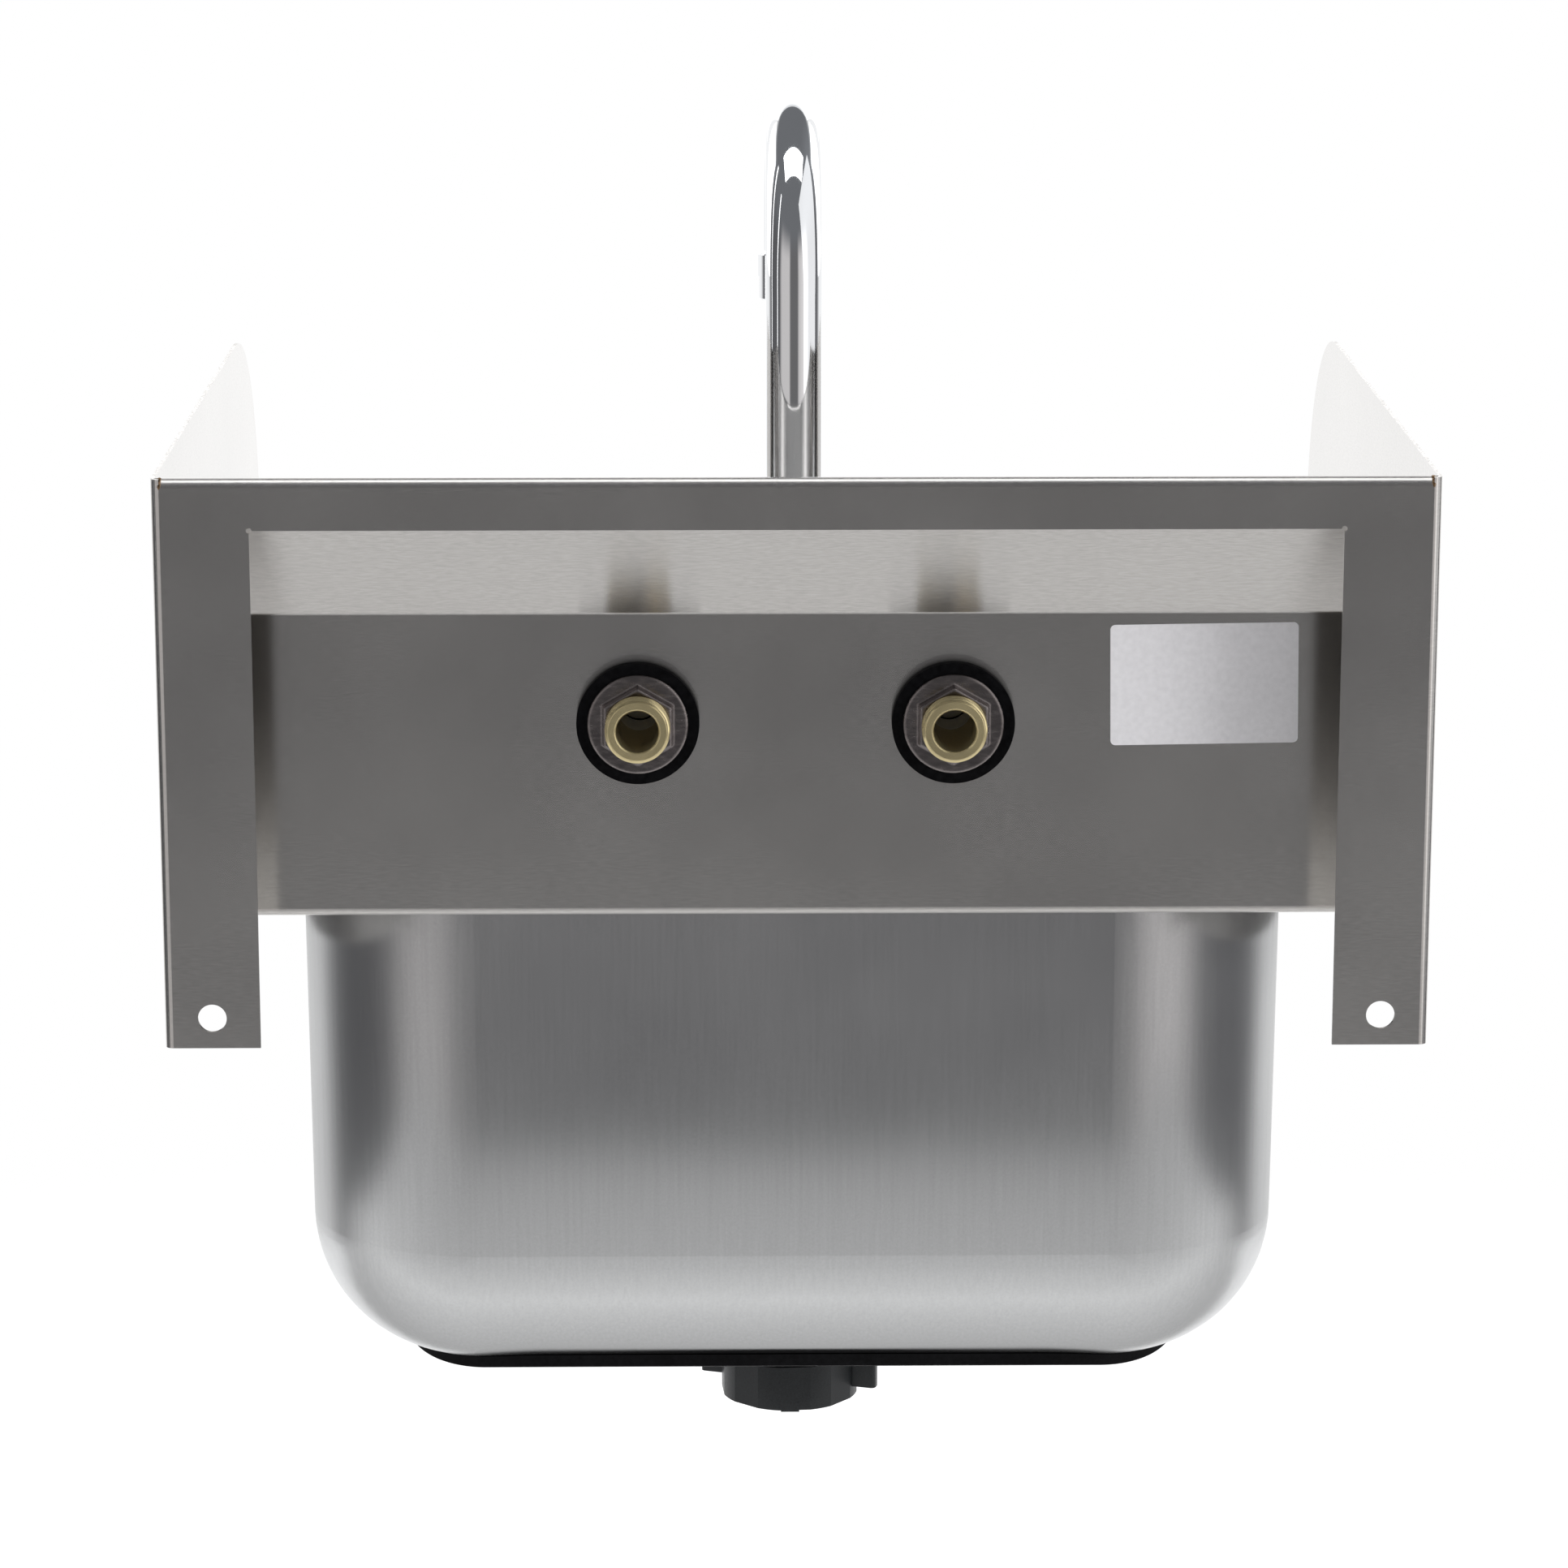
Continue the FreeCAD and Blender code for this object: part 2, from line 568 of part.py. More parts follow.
def waste_seal():
    return turned(ring(WASTE_HOLE_R, WASTE_FLANGE_R - STRAINER_T, WASTE_TOP, -SHEET), WASTE_BASE)


def waste_body():
    """Moulded cup with a spoked boss for the screw and a threaded tail for the trap."""
    flange_foot = WASTE_TOP - WASTE_FLANGE_T
    cup_in = WASTE_CUP_R - WASTE_WALL
    body = turned([
        (cup_in, WASTE_TOP),
        (WASTE_FLANGE_R, WASTE_TOP),
        (WASTE_FLANGE_R, flange_foot),
        (WASTE_CUP_R, flange_foot),
        (TAIL_R, CUP_FOOT),
        (TAIL_R, TAIL_END),
        (OUTLET_R, TAIL_END),
        (OUTLET_R, CUP_FOOT),
        (cup_in, flange_foot),
    ], WASTE_BASE)
    spokes = [Part.makeBox(cup_in + WASTE_WALL / 2, SPOKE_T, BOSS_TOP - BOSS_FOOT,
                           Vector(0, -SPOKE_T / 2, BOSS_FOOT)) for _ in range(SPOKES)]
    for index, spoke in enumerate(spokes):
        spoke.rotate(Vector(0, 0, 0), UP, 360.0 * index / SPOKES)
        spoke.translate(WASTE_BASE)
    flue = turned([
        (0, WASTE_TOP),
        (cup_in + WASTE_WALL / 2, WASTE_TOP),
        (cup_in + WASTE_WALL / 2, flange_foot),
        (OUTLET_R + WASTE_WALL / 2, CUP_FOOT),
        (0, CUP_FOOT),
    ], WASTE_BASE)
    boss = rod(BOSS_R, BOSS_FOOT, BOSS_TOP, WASTE_BASE, UP)
    web = joined(boss, *[spoke.common(flue) for spoke in spokes])
    bore = rod(INSERT_R + THREAD_FIT, BOSS_FOOT, BOSS_TOP, WASTE_BASE, UP)
    return joined(body, web).cut(bore)


def screw_insert():
    return turned(ring(STRAINER_SCREW_R + THREAD_FIT, INSERT_R, BOSS_FOOT, BOSS_TOP), WASTE_BASE)


def cone_seal():
    """Ring that the nut squeezes round the trap's pipe."""
    return turned([
        (OUTLET_R, TAIL_END - CONE_SEAL_H),
        (TAIL_R - WASTE_NUT_LIP / 2, TAIL_END - CONE_SEAL_H),
        (TAIL_R, TAIL_END - CONE_SEAL_H / 2),
        (TAIL_R, TAIL_END),
        (OUTLET_R, TAIL_END),
    ], WASTE_BASE)


def waste_nut():
    """Eight-sided union nut with two wings for tightening it by hand."""
    top = NUT_FOOT + WING_UP + WING_H
    blank = turned(ring(0, WASTE_NUT_R, NUT_FOOT, top), WASTE_BASE)
    corner = (WASTE_NUT_R - WASTE_NUT_FACET) / math.cos(math.pi / WASTE_NUT_SIDES)
    corners = [WASTE_BASE + Vector(x, y, NUT_FOOT) for x, y in polar(WASTE_NUT_SIDES, corner, WING_TURN)]
    facets = Part.Face(Part.makePolygon(corners + corners[:1])).extrude(Vector(0, 0, top - NUT_FOOT))
    blank = blank.common(facets)
    wings = Part.makeBox(2 * (WASTE_NUT_R + WING_REACH), WING_T, WING_H,
                         Vector(-WASTE_NUT_R - WING_REACH, -WING_T / 2, NUT_FOOT + WING_UP))
    upright = [e for e in wings.Edges if e.BoundBox.ZLength > WING_H / 2]
    wings = wings.makeFillet(WING_T / 3, upright)
    wings.rotate(Vector(0, 0, 0), UP, WING_TURN)
    wings.translate(WASTE_BASE)
    hollow = turned([
        (0, NUT_FOOT),
        (OUTLET_R, NUT_FOOT),
        (OUTLET_R, TAIL_END - CONE_SEAL_H),
        (TAIL_R + THREAD_FIT, TAIL_END - CONE_SEAL_H),
        (TAIL_R + THREAD_FIT, top),
        (0, top),
    ], WASTE_BASE)
    lug = Part.makeBox(LUG_W, WASTE_NUT_WALL, LUG_H + WASTE_NUT_LIP,
                       WASTE_BASE + Vector(-LUG_W / 2, TAIL_R - WASTE_NUT_FACET, NUT_FOOT - LUG_H))
    return joined(blank, wings, lug).cut(hollow)


# Tap body and its fixings; stations run forwards from the face of the back splash

def shank_base(side):
    return Vector(side * SHANK_SPACING / 2, SPLASH_Y, TAP_Z)


WASHER_BACK = -(SHEET + REAR_WASHER_T)
LOCKNUT_BACK = WASHER_BACK - LOCKNUT_FLANGE_T - LOCKNUT_HEX_H
SHANK_BACK = LOCKNUT_BACK - SHANK_FREE
SHANK_FRONT = FRONT_GASKET_T + SHANK_ENGAGED
CHAMBER_BACK = ARM_SEAT - CHAMBER_DEPTH


def shank(side):
    """Threaded inlet tube, drawn at mid flank where it is engaged and at its crests behind the locknut."""
    chamfer = SHANK_MAJOR_R - SHANK_PITCH_R
    return turned([
        (SHANK_BORE_R, SHANK_FRONT),
        (SHANK_PITCH_R, SHANK_FRONT),
        (SHANK_PITCH_R, LOCKNUT_BACK),
        (SHANK_MAJOR_R, LOCKNUT_BACK),
        (SHANK_MAJOR_R, SHANK_BACK + chamfer),
        (SHANK_PITCH_R, SHANK_BACK),
        (SHANK_BORE_R + chamfer, SHANK_BACK),
        (SHANK_BORE_R, SHANK_BACK + chamfer),
    ], shank_base(side), FORWARD)


def rear_washer(side):
    bore = SHANK_MAJOR_R + WASHER_FIT
    return turned(ring(bore, REAR_WASHER_R, WASHER_BACK, -SHEET), shank_base(side), FORWARD)


def locknut(side):
    """Pressed nut: round flange, drafted hexagon and plain bore."""
    base = shank_base(side)
    flange_back = WASHER_BACK - LOCKNUT_FLANGE_T
    flange = turned([
        (0, WASHER_BACK),
        (LOCKNUT_FLANGE_R, WASHER_BACK),
        (LOCKNUT_FLANGE_R, flange_back + LOCKNUT_EDGE),
        (LOCKNUT_FLANGE_R - LOCKNUT_EDGE, flange_back),
        (0, flange_back),
    ], base, FORWARD)
    nut = hex_prism(LOCKNUT_HEX, flange_back, LOCKNUT_BACK, base, FORWARD,
                    LOCKNUT_HEX - 2 * LOCKNUT_DRAFT, turn=90)
    rear = base.y - LOCKNUT_BACK
    nut = nut.makeFillet(LOCKNUT_ROUND, [e for e in nut.Edges if e.BoundBox.YMin > rear - SEAM])
    bore = rod(SHANK_PITCH_R + THREAD_FIT, LOCKNUT_BACK - SHEET, 0, base, FORWARD)
    return joined(flange, nut).cut(bore)


def front_gasket(side):
    return turned(ring(SHANK_HOLE_R, FRONT_GASKET_R, 0, FRONT_GASKET_T), shank_base(side), FORWARD)


def escutcheon(side):
    """Domed rose that hides the hole and the gasket."""
    bore = ARM_R + SLIP_FIT
    base = FRONT_GASKET_T
    return turned([
        (bore, base),
        (ESCUTCHEON_R, base),
        (ESCUTCHEON_R, base + ESCUTCHEON_RIM, ESCUTCHEON_CROWN),
        (bore + ESCUTCHEON_LAND, base + ESCUTCHEON_H),
        (bore, base + ESCUTCHEON_H),
    ], shank_base(side), FORWARD)


def on_bridge(edge):
    """True for an edge where the bridge runs into an arm or the boss."""
    if edge.Degenerated or edge.BoundBox.ZLength < SEAM:
        return False
    place = edge.valueAt((edge.FirstParameter + edge.LastParameter) / 2)
    return abs(math.hypot(place.y - TAP_Y, place.z - TAP_Z) - BRIDGE_R) < SEAM


def tap_body():
    """Cast body: two valve arms, the bridge between them and the swivel socket, with its waterways."""
    middle = Vector(0, TAP_Y, TAP_Z)
    arms = [rod(ARM_R, FRONT_GASKET_T, ARM_SEAT, shank_base(side), FORWARD) for side in SIDES.values()]
    half_span = SHANK_SPACING / 2
    bridge = rod(BRIDGE_R, -half_span, half_span, middle, Vector(1, 0, 0))
    centre = turned([
        (0, -CENTRE_R, round_edge(CENTRE_R)),
        (CENTRE_R, 0),
        (CENTRE_R, CENTRE_H - CENTRE_EDGE),
        (CENTRE_R - CENTRE_EDGE, CENTRE_H),
        (NECK_R, CENTRE_H),
        (NECK_R, NECK_TOP),
        (0, NECK_TOP),
    ], middle)
    cuts = [
        rod(SOCKET_R, NECK_TOP - SOCKET_DEPTH, NECK_TOP, middle, UP),
        rod(WATERWAY_R, 0, NECK_TOP, middle, UP),
        rod(WATERWAY_R, -half_span, half_span, middle, Vector(1, 0, 0)),
    ]
    for side in SIDES.values():
        base = shank_base(side)
        cuts.append(rod(SHANK_PITCH_R + THREAD_FIT, FRONT_GASKET_T, SHANK_FRONT, base, FORWARD))
        cuts.append(rod(SHANK_BORE_R, SHANK_FRONT, ARM_SEAT, base, FORWARD))
        cuts.append(rod(CHAMBER_R, CHAMBER_BACK, ARM_SEAT, base, FORWARD))
    casting = joined(*arms, bridge, centre)
    casting = casting.makeFillet(CAST_R, [e for e in casting.Edges if on_bridge(e)])
    return casting.cut(cuts)


# Headworks and handles

HEADWORK_R = CHAMBER_R - THREAD_FIT
DISC_R = HEADWORK_R - HEADWORK_WALL
FIXED_DISC_BACK = CHAMBER_BACK + SEAT_SEAL_T
MOVING_DISC_BACK = FIXED_DISC_BACK + DISC_T + DISC_GAP
STEM_FOOT_BACK = MOVING_DISC_BACK + DISC_T
NECK_FRONT = ARM_SEAT + HEADWORK_HEX_H + HEADWORK_NECK_H


def headwork(side):
    """Screwed valve cartridge that holds the discs and guides the stem."""
    base = shank_base(side)
    hollow_front = STEM_FOOT_BACK + STEM_FOOT_H + DISC_GAP
    guide = STEM_R + RUNNING_FIT
    sleeve = turned([
        (DISC_R + RUNNING_FIT, FIXED_DISC_BACK),
        (HEADWORK_R, FIXED_DISC_BACK),
        (HEADWORK_R, ARM_SEAT),
        (HEADWORK_NECK_R, ARM_SEAT),
        (HEADWORK_NECK_R, NECK_FRONT),
        (guide, NECK_FRONT),
        (guide, hollow_front),
        (DISC_R + RUNNING_FIT, hollow_front),
    ], base, FORWARD)
    nut = hex_prism(HEADWORK_HEX, ARM_SEAT, ARM_SEAT + HEADWORK_HEX_H, base, FORWARD)
    nut = nut.cut(rod(guide, ARM_SEAT, NECK_FRONT, base, FORWARD))
    return joined(sleeve, nut)


def seat_seal(side):
    return turned(ring(SHANK_BORE_R, DISC_R, CHAMBER_BACK, FIXED_DISC_BACK), shank_base(side), FORWARD)


def valve_disc(side, back, turn):
    """Ceramic disc with two ports; the closed valve has its two discs a quarter turn apart."""
    base = shank_base(side)
    disc = rod(DISC_R, back, back + DISC_T, base, FORWARD)
    ports = []
    for x, y in polar(2, DISC_R - PORT_R - PORT_INSET, turn):
        ports.append(rod(PORT_R, back, back + DISC_T, base + Vector(x, 0, y), FORWARD))
    return disc.cut(ports)


def fixed_disc(side):
    return valve_disc(side, FIXED_DISC_BACK, 0)


def moving_disc(side):
    return valve_disc(side, MOVING_DISC_BACK, 90)


def valve_stem(side):
    """Stem with the foot that turns the moving disc and a tapped end for the handle screw."""
    return turned([
        (0, STEM_FOOT_BACK),
        (DISC_R, STEM_FOOT_BACK),
        (DISC_R, STEM_FOOT_BACK + STEM_FOOT_H),
        (STEM_R, STEM_FOOT_BACK + STEM_FOOT_H),
        (STEM_R, STEM_TOP),
        (HANDLE_SCREW_R + THREAD_FIT, STEM_TOP),
        (HANDLE_SCREW_R + THREAD_FIT, STEM_TOP - HANDLE_SCREW_LENGTH),
        (0, STEM_TOP - HANDLE_SCREW_LENGTH),
    ], shank_base(side), FORWARD)


SCREW_SEAT = STEM_TOP + HANDLE_WEB
BUTTON_BACK = SCREW_SEAT + HANDLE_SCREW_HEAD_H
HUB_FRONT = BUTTON_BACK + BUTTON_T
SKIRT_FRONT = NECK_FRONT + HUB_CLEAR


def handle(side):
    """Hollow hub on the stem with a lever that points outwards when the valve is shut."""
    base = shank_base(side)
    hub = turned([
        (0, HUB_BACK),
        (HUB_R, HUB_BACK),
        (HUB_R, HUB_BACK + HUB_SKIRT),
        (HUB_TOP_R, HUB_FRONT - HUB_EDGE, round_edge(HUB_EDGE)),
        (HUB_TOP_R - HUB_EDGE, HUB_FRONT),
        (0, HUB_FRONT),
    ], base, FORWARD)
    sections = (
        (HUB_TOP_R / 2, LEVER_ROOT_W, LEVER_ROOT_T, 0),
        (LEVER_WAIST, LEVER_WAIST_W, LEVER_WAIST_T, 0),
        (LEVER_REACH, LEVER_TIP_W, LEVER_TIP_T, LEVER_RISE),
    )
    wires = []
    for x, width, thick, rise in sections:
        oval = Part.Wire(Part.Ellipse(Vector(0, 0, 0), width / 2, thick / 2).toShape())
        oval.rotate(Vector(0, 0, 0), Vector(1, 1, 1), 120)
        oval.translate(Vector(x, 0, rise))
        wires.append(oval)
    lever = Part.makeLoft(wires, True, False)
    tip = LEVER_TIP_W / 2
    outline = [
        Vector(0, -tip, -LEVER_ROOT_T),
        Vector(LEVER_REACH - tip, -tip, -LEVER_ROOT_T),
        Vector(LEVER_REACH - tip, tip, -LEVER_ROOT_T),
        Vector(0, tip, -LEVER_ROOT_T),
    ]
    edges = [
        Part.LineSegment(outline[0], outline[1]).toShape(),
        Part.Arc(outline[1], Vector(LEVER_REACH, 0, -LEVER_ROOT_T), outline[2]).toShape(),
        Part.LineSegment(outline[2], outline[3]).toShape(),
        Part.LineSegment(outline[3], outline[0]).toShape(),
    ]
    plan = Part.Face(Part.Wire(edges)).extrude(Vector(0, 0, 2 * LEVER_ROOT_T + LEVER_RISE))
    lever = lever.common(plan)
    if side < 0:
        lever.rotate(Vector(0, 0, 0), UP, 180)
    lever.rotate(Vector(0, 0, 0), Vector(1, 0, 0), 90)
    lever.translate(base + FORWARD * (HUB_BACK + LEVER_UP))
    cavity = turned([
        (0, HUB_BACK),
        (HUB_R - HUB_WALL, HUB_BACK),
        (HUB_R - HUB_WALL, SKIRT_FRONT),
        (STEM_R + BRAZE_FIT, SKIRT_FRONT),
        (STEM_R + BRAZE_FIT, STEM_TOP),
        (HANDLE_SCREW_R + SLIP_FIT, STEM_TOP),
        (HANDLE_SCREW_R + SLIP_FIT, SCREW_SEAT),
        (HANDLE_SCREW_HEAD_R + SLIP_FIT, SCREW_SEAT),
        (HANDLE_SCREW_HEAD_R + SLIP_FIT, BUTTON_BACK),
        (BUTTON_R, BUTTON_BACK),
        (BUTTON_R, HUB_FRONT),
        (0, HUB_FRONT),
    ], base, FORWARD)
    return joined(hub, lever).cut(cavity)


def handle_screw(side):
    return turned([
        (0, STEM_TOP - HANDLE_SCREW_LENGTH),
        (HANDLE_SCREW_R, STEM_TOP - HANDLE_SCREW_LENGTH),
        (HANDLE_SCREW_R, SCREW_SEAT),
        (HANDLE_SCREW_HEAD_R, SCREW_SEAT),
        (HANDLE_SCREW_HEAD_R, BUTTON_BACK),
        (0, BUTTON_BACK),
    ], shank_base(side), FORWARD)


def index_button(side):
    """Crowned snap-in button that shows hot or cold."""
    rim = BUTTON_R - BRAZE_FIT
    return turned([
        (0, BUTTON_BACK),
        (rim, BUTTON_BACK),
        (rim, HUB_FRONT, crown_bulge(rim, BUTTON_CROWN)),
        (0, HUB_FRONT + BUTTON_CROWN),
    ], shank_base(side), FORWARD)


# Gooseneck; stations run upwards from the tap's axis

SPOUT_BASE = Vector(0, TAP_Y, TAP_Z)
COLLAR_FOOT = NECK_TOP - SOCKET_DEPTH + AXIAL_FIT
FLANGE_LOW = NECK_TOP + AXIAL_FIT / 2
FLANGE_TOP = FLANGE_LOW + COLLAR_FLANGE_T
TUBE_FOOT = COLLAR_FOOT + COLLAR_SEAT


def spout_tube():
    """Bent tube: riser, half-round arch and a short straight outlet."""
    wall = Part.Face([Part.Wire(Part.makeCircle(radius)) for radius in (TUBE_R, TUBE_R - TUBE_WALL)])
    wall.translate(Vector(0, TAP_Y, ARCH_Z))
    riser = wall.extrude(Vector(0, 0, TAP_Z + TUBE_FOOT - ARCH_Z))
    arch = wall.revolve(Vector(0, TAP_Y - ARCH_R, ARCH_Z), Vector(1, 0, 0), 180)
    wall.translate(Vector(0, -2 * ARCH_R, 0))
    outlet = wall.extrude(Vector(0, 0, -OUTLET_RUN))
    return joined(riser, arch, outlet)


def spout_collar():
    """Brazed swivel bush with two seal grooves and the flange that the nut keeps down."""
    groove = COLLAR_R - 2 * O_RING_R
    profile = [(TUBE_R - TUBE_WALL, COLLAR_FOOT), (COLLAR_R, COLLAR_FOOT)]
    for station in O_RING_STATIONS:
        low = COLLAR_FOOT + station - O_RING_R
        high = COLLAR_FOOT + station + O_RING_R
        profile += [(COLLAR_R, low), (groove, low), (groove, high), (COLLAR_R, high)]
    profile += [
        (COLLAR_R, FLANGE_LOW),
        (COLLAR_FLANGE_R, FLANGE_LOW),
        (COLLAR_FLANGE_R, FLANGE_TOP),
        (TUBE_R + BRAZE_FIT, FLANGE_TOP),
        (TUBE_R + BRAZE_FIT, TUBE_FOOT),
        (TUBE_R - TUBE_WALL, TUBE_FOOT),
    ]
    return turned(profile, SPOUT_BASE)


def spout_o_rings():
    rings = []
    for station in O_RING_STATIONS:
        centre = SPOUT_BASE + Vector(0, 0, COLLAR_FOOT + station)
        rings.append(Part.makeTorus(COLLAR_R - O_RING_R, O_RING_R, centre, UP))
    return Part.makeCompound(rings)


def spout_nut():
    """Hexagon nut screwed on the neck, with a lip over the collar's flange."""
    low = CENTRE_H + SPOUT_NUT_GAP
    lip = FLANGE_TOP + AXIAL_FIT
    top = lip + SPOUT_NUT_LIP
    blank = hex_prism(SPOUT_NUT_HEX, low, top, SPOUT_BASE, UP)
    corner = SPOUT_NUT_HEX / math.sqrt(3)
    crown = turned([
        (0, low),
        (corner, low),
        (corner, top - SPOUT_NUT_LIP),
        (SPOUT_NUT_HEX / 2 - SPOUT_NUT_LIP, top),
        (0, top),
    ], SPOUT_BASE)
    hollow = turned([
        (0, low),
        (NECK_R + THREAD_FIT, low),
        (NECK_R + THREAD_FIT, lip),
        (TUBE_R + SPOUT_NUT_TUBE_FIT, lip),
        (TUBE_R + SPOUT_NUT_TUBE_FIT, top),
        (0, top),
    ], SPOUT_BASE)
    return blank.common(crown).cut(hollow)


AERATOR_BASE = Vector(0, OUTLET_Y, AERATOR_TOP_Z)
SHOULDER_FOOT = -(AERATOR_GRIP + AERATOR_SHOULDER)
INSERT_TOP = SHOULDER_FOOT - AERATOR_GASKET_T
INSERT_R_OUT = AERATOR_R - AERATOR_WALL


def aerator_housing():
    """Turned nozzle ring with two spanner flats."""
    edge = AERATOR_WALL / 2
    housing = turned([
        (TUBE_R + BRAZE_FIT, 0),
        (AERATOR_R - edge, 0),
        (AERATOR_R, -edge),
        (AERATOR_R, edge - AERATOR_H),
        (AERATOR_R - edge, -AERATOR_H),
        (INSERT_R_OUT, -AERATOR_H),
        (INSERT_R_OUT, SHOULDER_FOOT),
        (TUBE_R - TUBE_WALL, SHOULDER_FOOT),
        (TUBE_R - TUBE_WALL, -AERATOR_GRIP),
        (TUBE_R + BRAZE_FIT, -AERATOR_GRIP),
    ], AERATOR_BASE)
    flats = []
    for side in SIDES.values():
        box = Part.makeBox(AERATOR_R, 2 * AERATOR_R, AERATOR_H / 2)
        box.translate(AERATOR_BASE + Vector(-AERATOR_R / 2 + side * (1.5 * AERATOR_R - AERATOR_FLAT),
                                            -AERATOR_R, -AERATOR_H))
        flats.append(box)
    return housing.cut(flats)


def aerator_gasket():
    profile = ring(TUBE_R - TUBE_WALL, INSERT_R_OUT - BRAZE_FIT, INSERT_TOP, SHOULDER_FOOT)
    return turned(profile, AERATOR_BASE)


def aerator_insert():
    """Flow straightener with two rings of jets."""
    low = AERATOR_RECESS - AERATOR_H
    insert = rod(INSERT_R_OUT - BRAZE_FIT, low, INSERT_TOP, AERATOR_BASE, UP)
    return insert.cut(hole_rings(AERATOR_HOLE_R, INSERT_R_OUT - AERATOR_HOLE_INSET, AERATOR_RING_STEP,
                                 AERATOR_HOLES, low, INSERT_TOP, AERATOR_BASE))


def nodes():
    shapes = {
        "deck_and_backsplash": deck_and_backsplash(),
        "side_splash_left": side_splash(-1),
        "side_splash_right": side_splash(1),
        "bowl": bowl(),
        "damping_pad": damping_pad(),
        "strainer_plate": strainer_plate(),
        "strainer_screw": strainer_screw(),
        "strainer_seal": strainer_seal(),
        "waste_seal": waste_seal(),
        "waste_body": waste_body(),
        "screw_insert": screw_insert(),
        "cone_seal": cone_seal(),
        "waste_nut": waste_nut(),
        "tap_body": tap_body(),
        "spout_tube": spout_tube(),
        "spout_collar": spout_collar(),
        "spout_o_rings": spout_o_rings(),
        "spout_nut": spout_nut(),
        "aerator_housing": aerator_housing(),
        "aerator_gasket": aerator_gasket(),
        "aerator_insert": aerator_insert(),
    }
    per_side = (
        shank, front_gasket, escutcheon, rear_washer, locknut, headwork, seat_seal, fixed_disc,
        moving_disc, valve_stem, handle, handle_screw, index_button,
    )
    for name, side in SIDES.items():
        for make in per_side:
            shapes[f"{name}_{make.__name__}"] = make(side)
    return shapes


os.makedirs("parts", exist_ok=True)
for node, shape in nodes().items():
    shape.exportStep(f"parts/{node}.step")
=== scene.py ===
"""Finishes, threads, seams and studio for a wall-hung stainless hand-wash sink."""

import math

import bmesh
import bpy
from bpy.props import FloatProperty, FloatVectorProperty, PointerProperty
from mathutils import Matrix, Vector


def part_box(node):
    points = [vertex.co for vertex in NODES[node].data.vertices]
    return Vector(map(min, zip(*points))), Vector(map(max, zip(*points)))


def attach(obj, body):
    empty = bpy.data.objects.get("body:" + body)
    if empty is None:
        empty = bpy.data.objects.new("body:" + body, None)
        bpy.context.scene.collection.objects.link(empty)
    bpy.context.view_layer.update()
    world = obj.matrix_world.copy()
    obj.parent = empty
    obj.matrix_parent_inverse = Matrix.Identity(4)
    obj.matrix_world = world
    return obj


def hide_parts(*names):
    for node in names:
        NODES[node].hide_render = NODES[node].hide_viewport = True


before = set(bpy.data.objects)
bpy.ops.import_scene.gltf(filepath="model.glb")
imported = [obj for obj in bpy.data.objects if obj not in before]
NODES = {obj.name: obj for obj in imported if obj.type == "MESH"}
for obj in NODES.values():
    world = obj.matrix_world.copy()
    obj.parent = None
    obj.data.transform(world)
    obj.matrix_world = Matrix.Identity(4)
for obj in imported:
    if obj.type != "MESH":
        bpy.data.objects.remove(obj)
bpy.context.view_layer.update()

bl_info = {
    "name": "Hand-wash sink finishes",
    "version": (1, 0, 0),
    "blender": (4, 5, 0),
    "location": "3D View > Sidebar > Sink",
    "description": "Dresses the packed hand-wash sink and sets up its studio",
    "category": "Object",
}

WHITE = (1.0, 1.0, 1.0, 1.0)
NEVER_NOUGHT = 0.001

# Nearly all of a noise lies between these values.
NOISE_LOW, NOISE_HIGH = 0.3, 0.7

# Brushing: cells of the grain to the metre along each axis, and the direction across the brushing.
LENGTHWISE = ((300.0, 2000.0, 2000.0), (0.0, 0.7071, 0.7071))
LEVEL = ((300.0, 300.0, 2000.0), (0.0, 0.0, 1.0))

# Lamps: name, place, width and height, property that holds the power, point that the lamp faces.
PANELS = (
    ("overhead_panel", (0.0, 0.12, 1.75), (1.7, 0.62), "top_power", (0.0, 0.1, 0.0)),
    ("front_panel", (0.0, -1.7, -0.1), (1.2, 0.8), "front_power", (0.0, 0.0, 0.1)),
    ("user_panel", (0.0, -1.9, 0.95), (2.0, 1.3), "user_power", (0.0, -0.1, 0.1)),
    ("softbox", (-1.6, 0.55, 0.875), (2.2, 2.65), "softbox_power", (0.0, -0.08, 0.25)),
    ("strip", (1.6, 0.45, 0.72), (0.09, 1.7), "strip_power", (0.0, -0.08, 0.25)),
    ("strip", (1.6, -0.42, 0.72), (0.09, 1.7), "strip_power", (0.0, -0.08, 0.25)),
    ("side_panel", (-1.5, -1.3, 0.7), (1.0, 1.4), "side_power", (0.0, -0.2, 0.0)),
    ("back_panel", (-1.6, 1.1, 0.45), (0.8, 0.8), "back_power", (0.0, 0.0, 0.0)),
    ("side_panel", (1.5, -1.3, 0.7), (1.0, 1.4), "side_power", (0.0, -0.2, 0.0)),
    ("back_panel", (1.6, 1.1, 0.45), (0.8, 0.8), "back_power", (0.0, 0.0, 0.0)),
)
UNREFLECTED = ("back_panel",)

# Bearings in the room, in degrees from straight behind the camera, where one tone gives way to
# the next.
OPENING = (130, 108)
WING_TO_WALL = (64, 50)
WALL_TO_GAP = (21, 13)

# Heights and breadths in the room, as shares of its radius, where a change begins and ends.
CEILING_TONE = (0.25, 0.6)
CEILING_COVER = (0.54, 0.66)
GAP_FOOT_DEPTH = (0.16, 0.24)
HOT_SIDE_BREADTH = (0.3, 0.7)


def colour_property(name, description, default):
    return FloatVectorProperty(name=name, description=description, default=default, size=3,
                               min=0.0, max=1.0, subtype="COLOR")


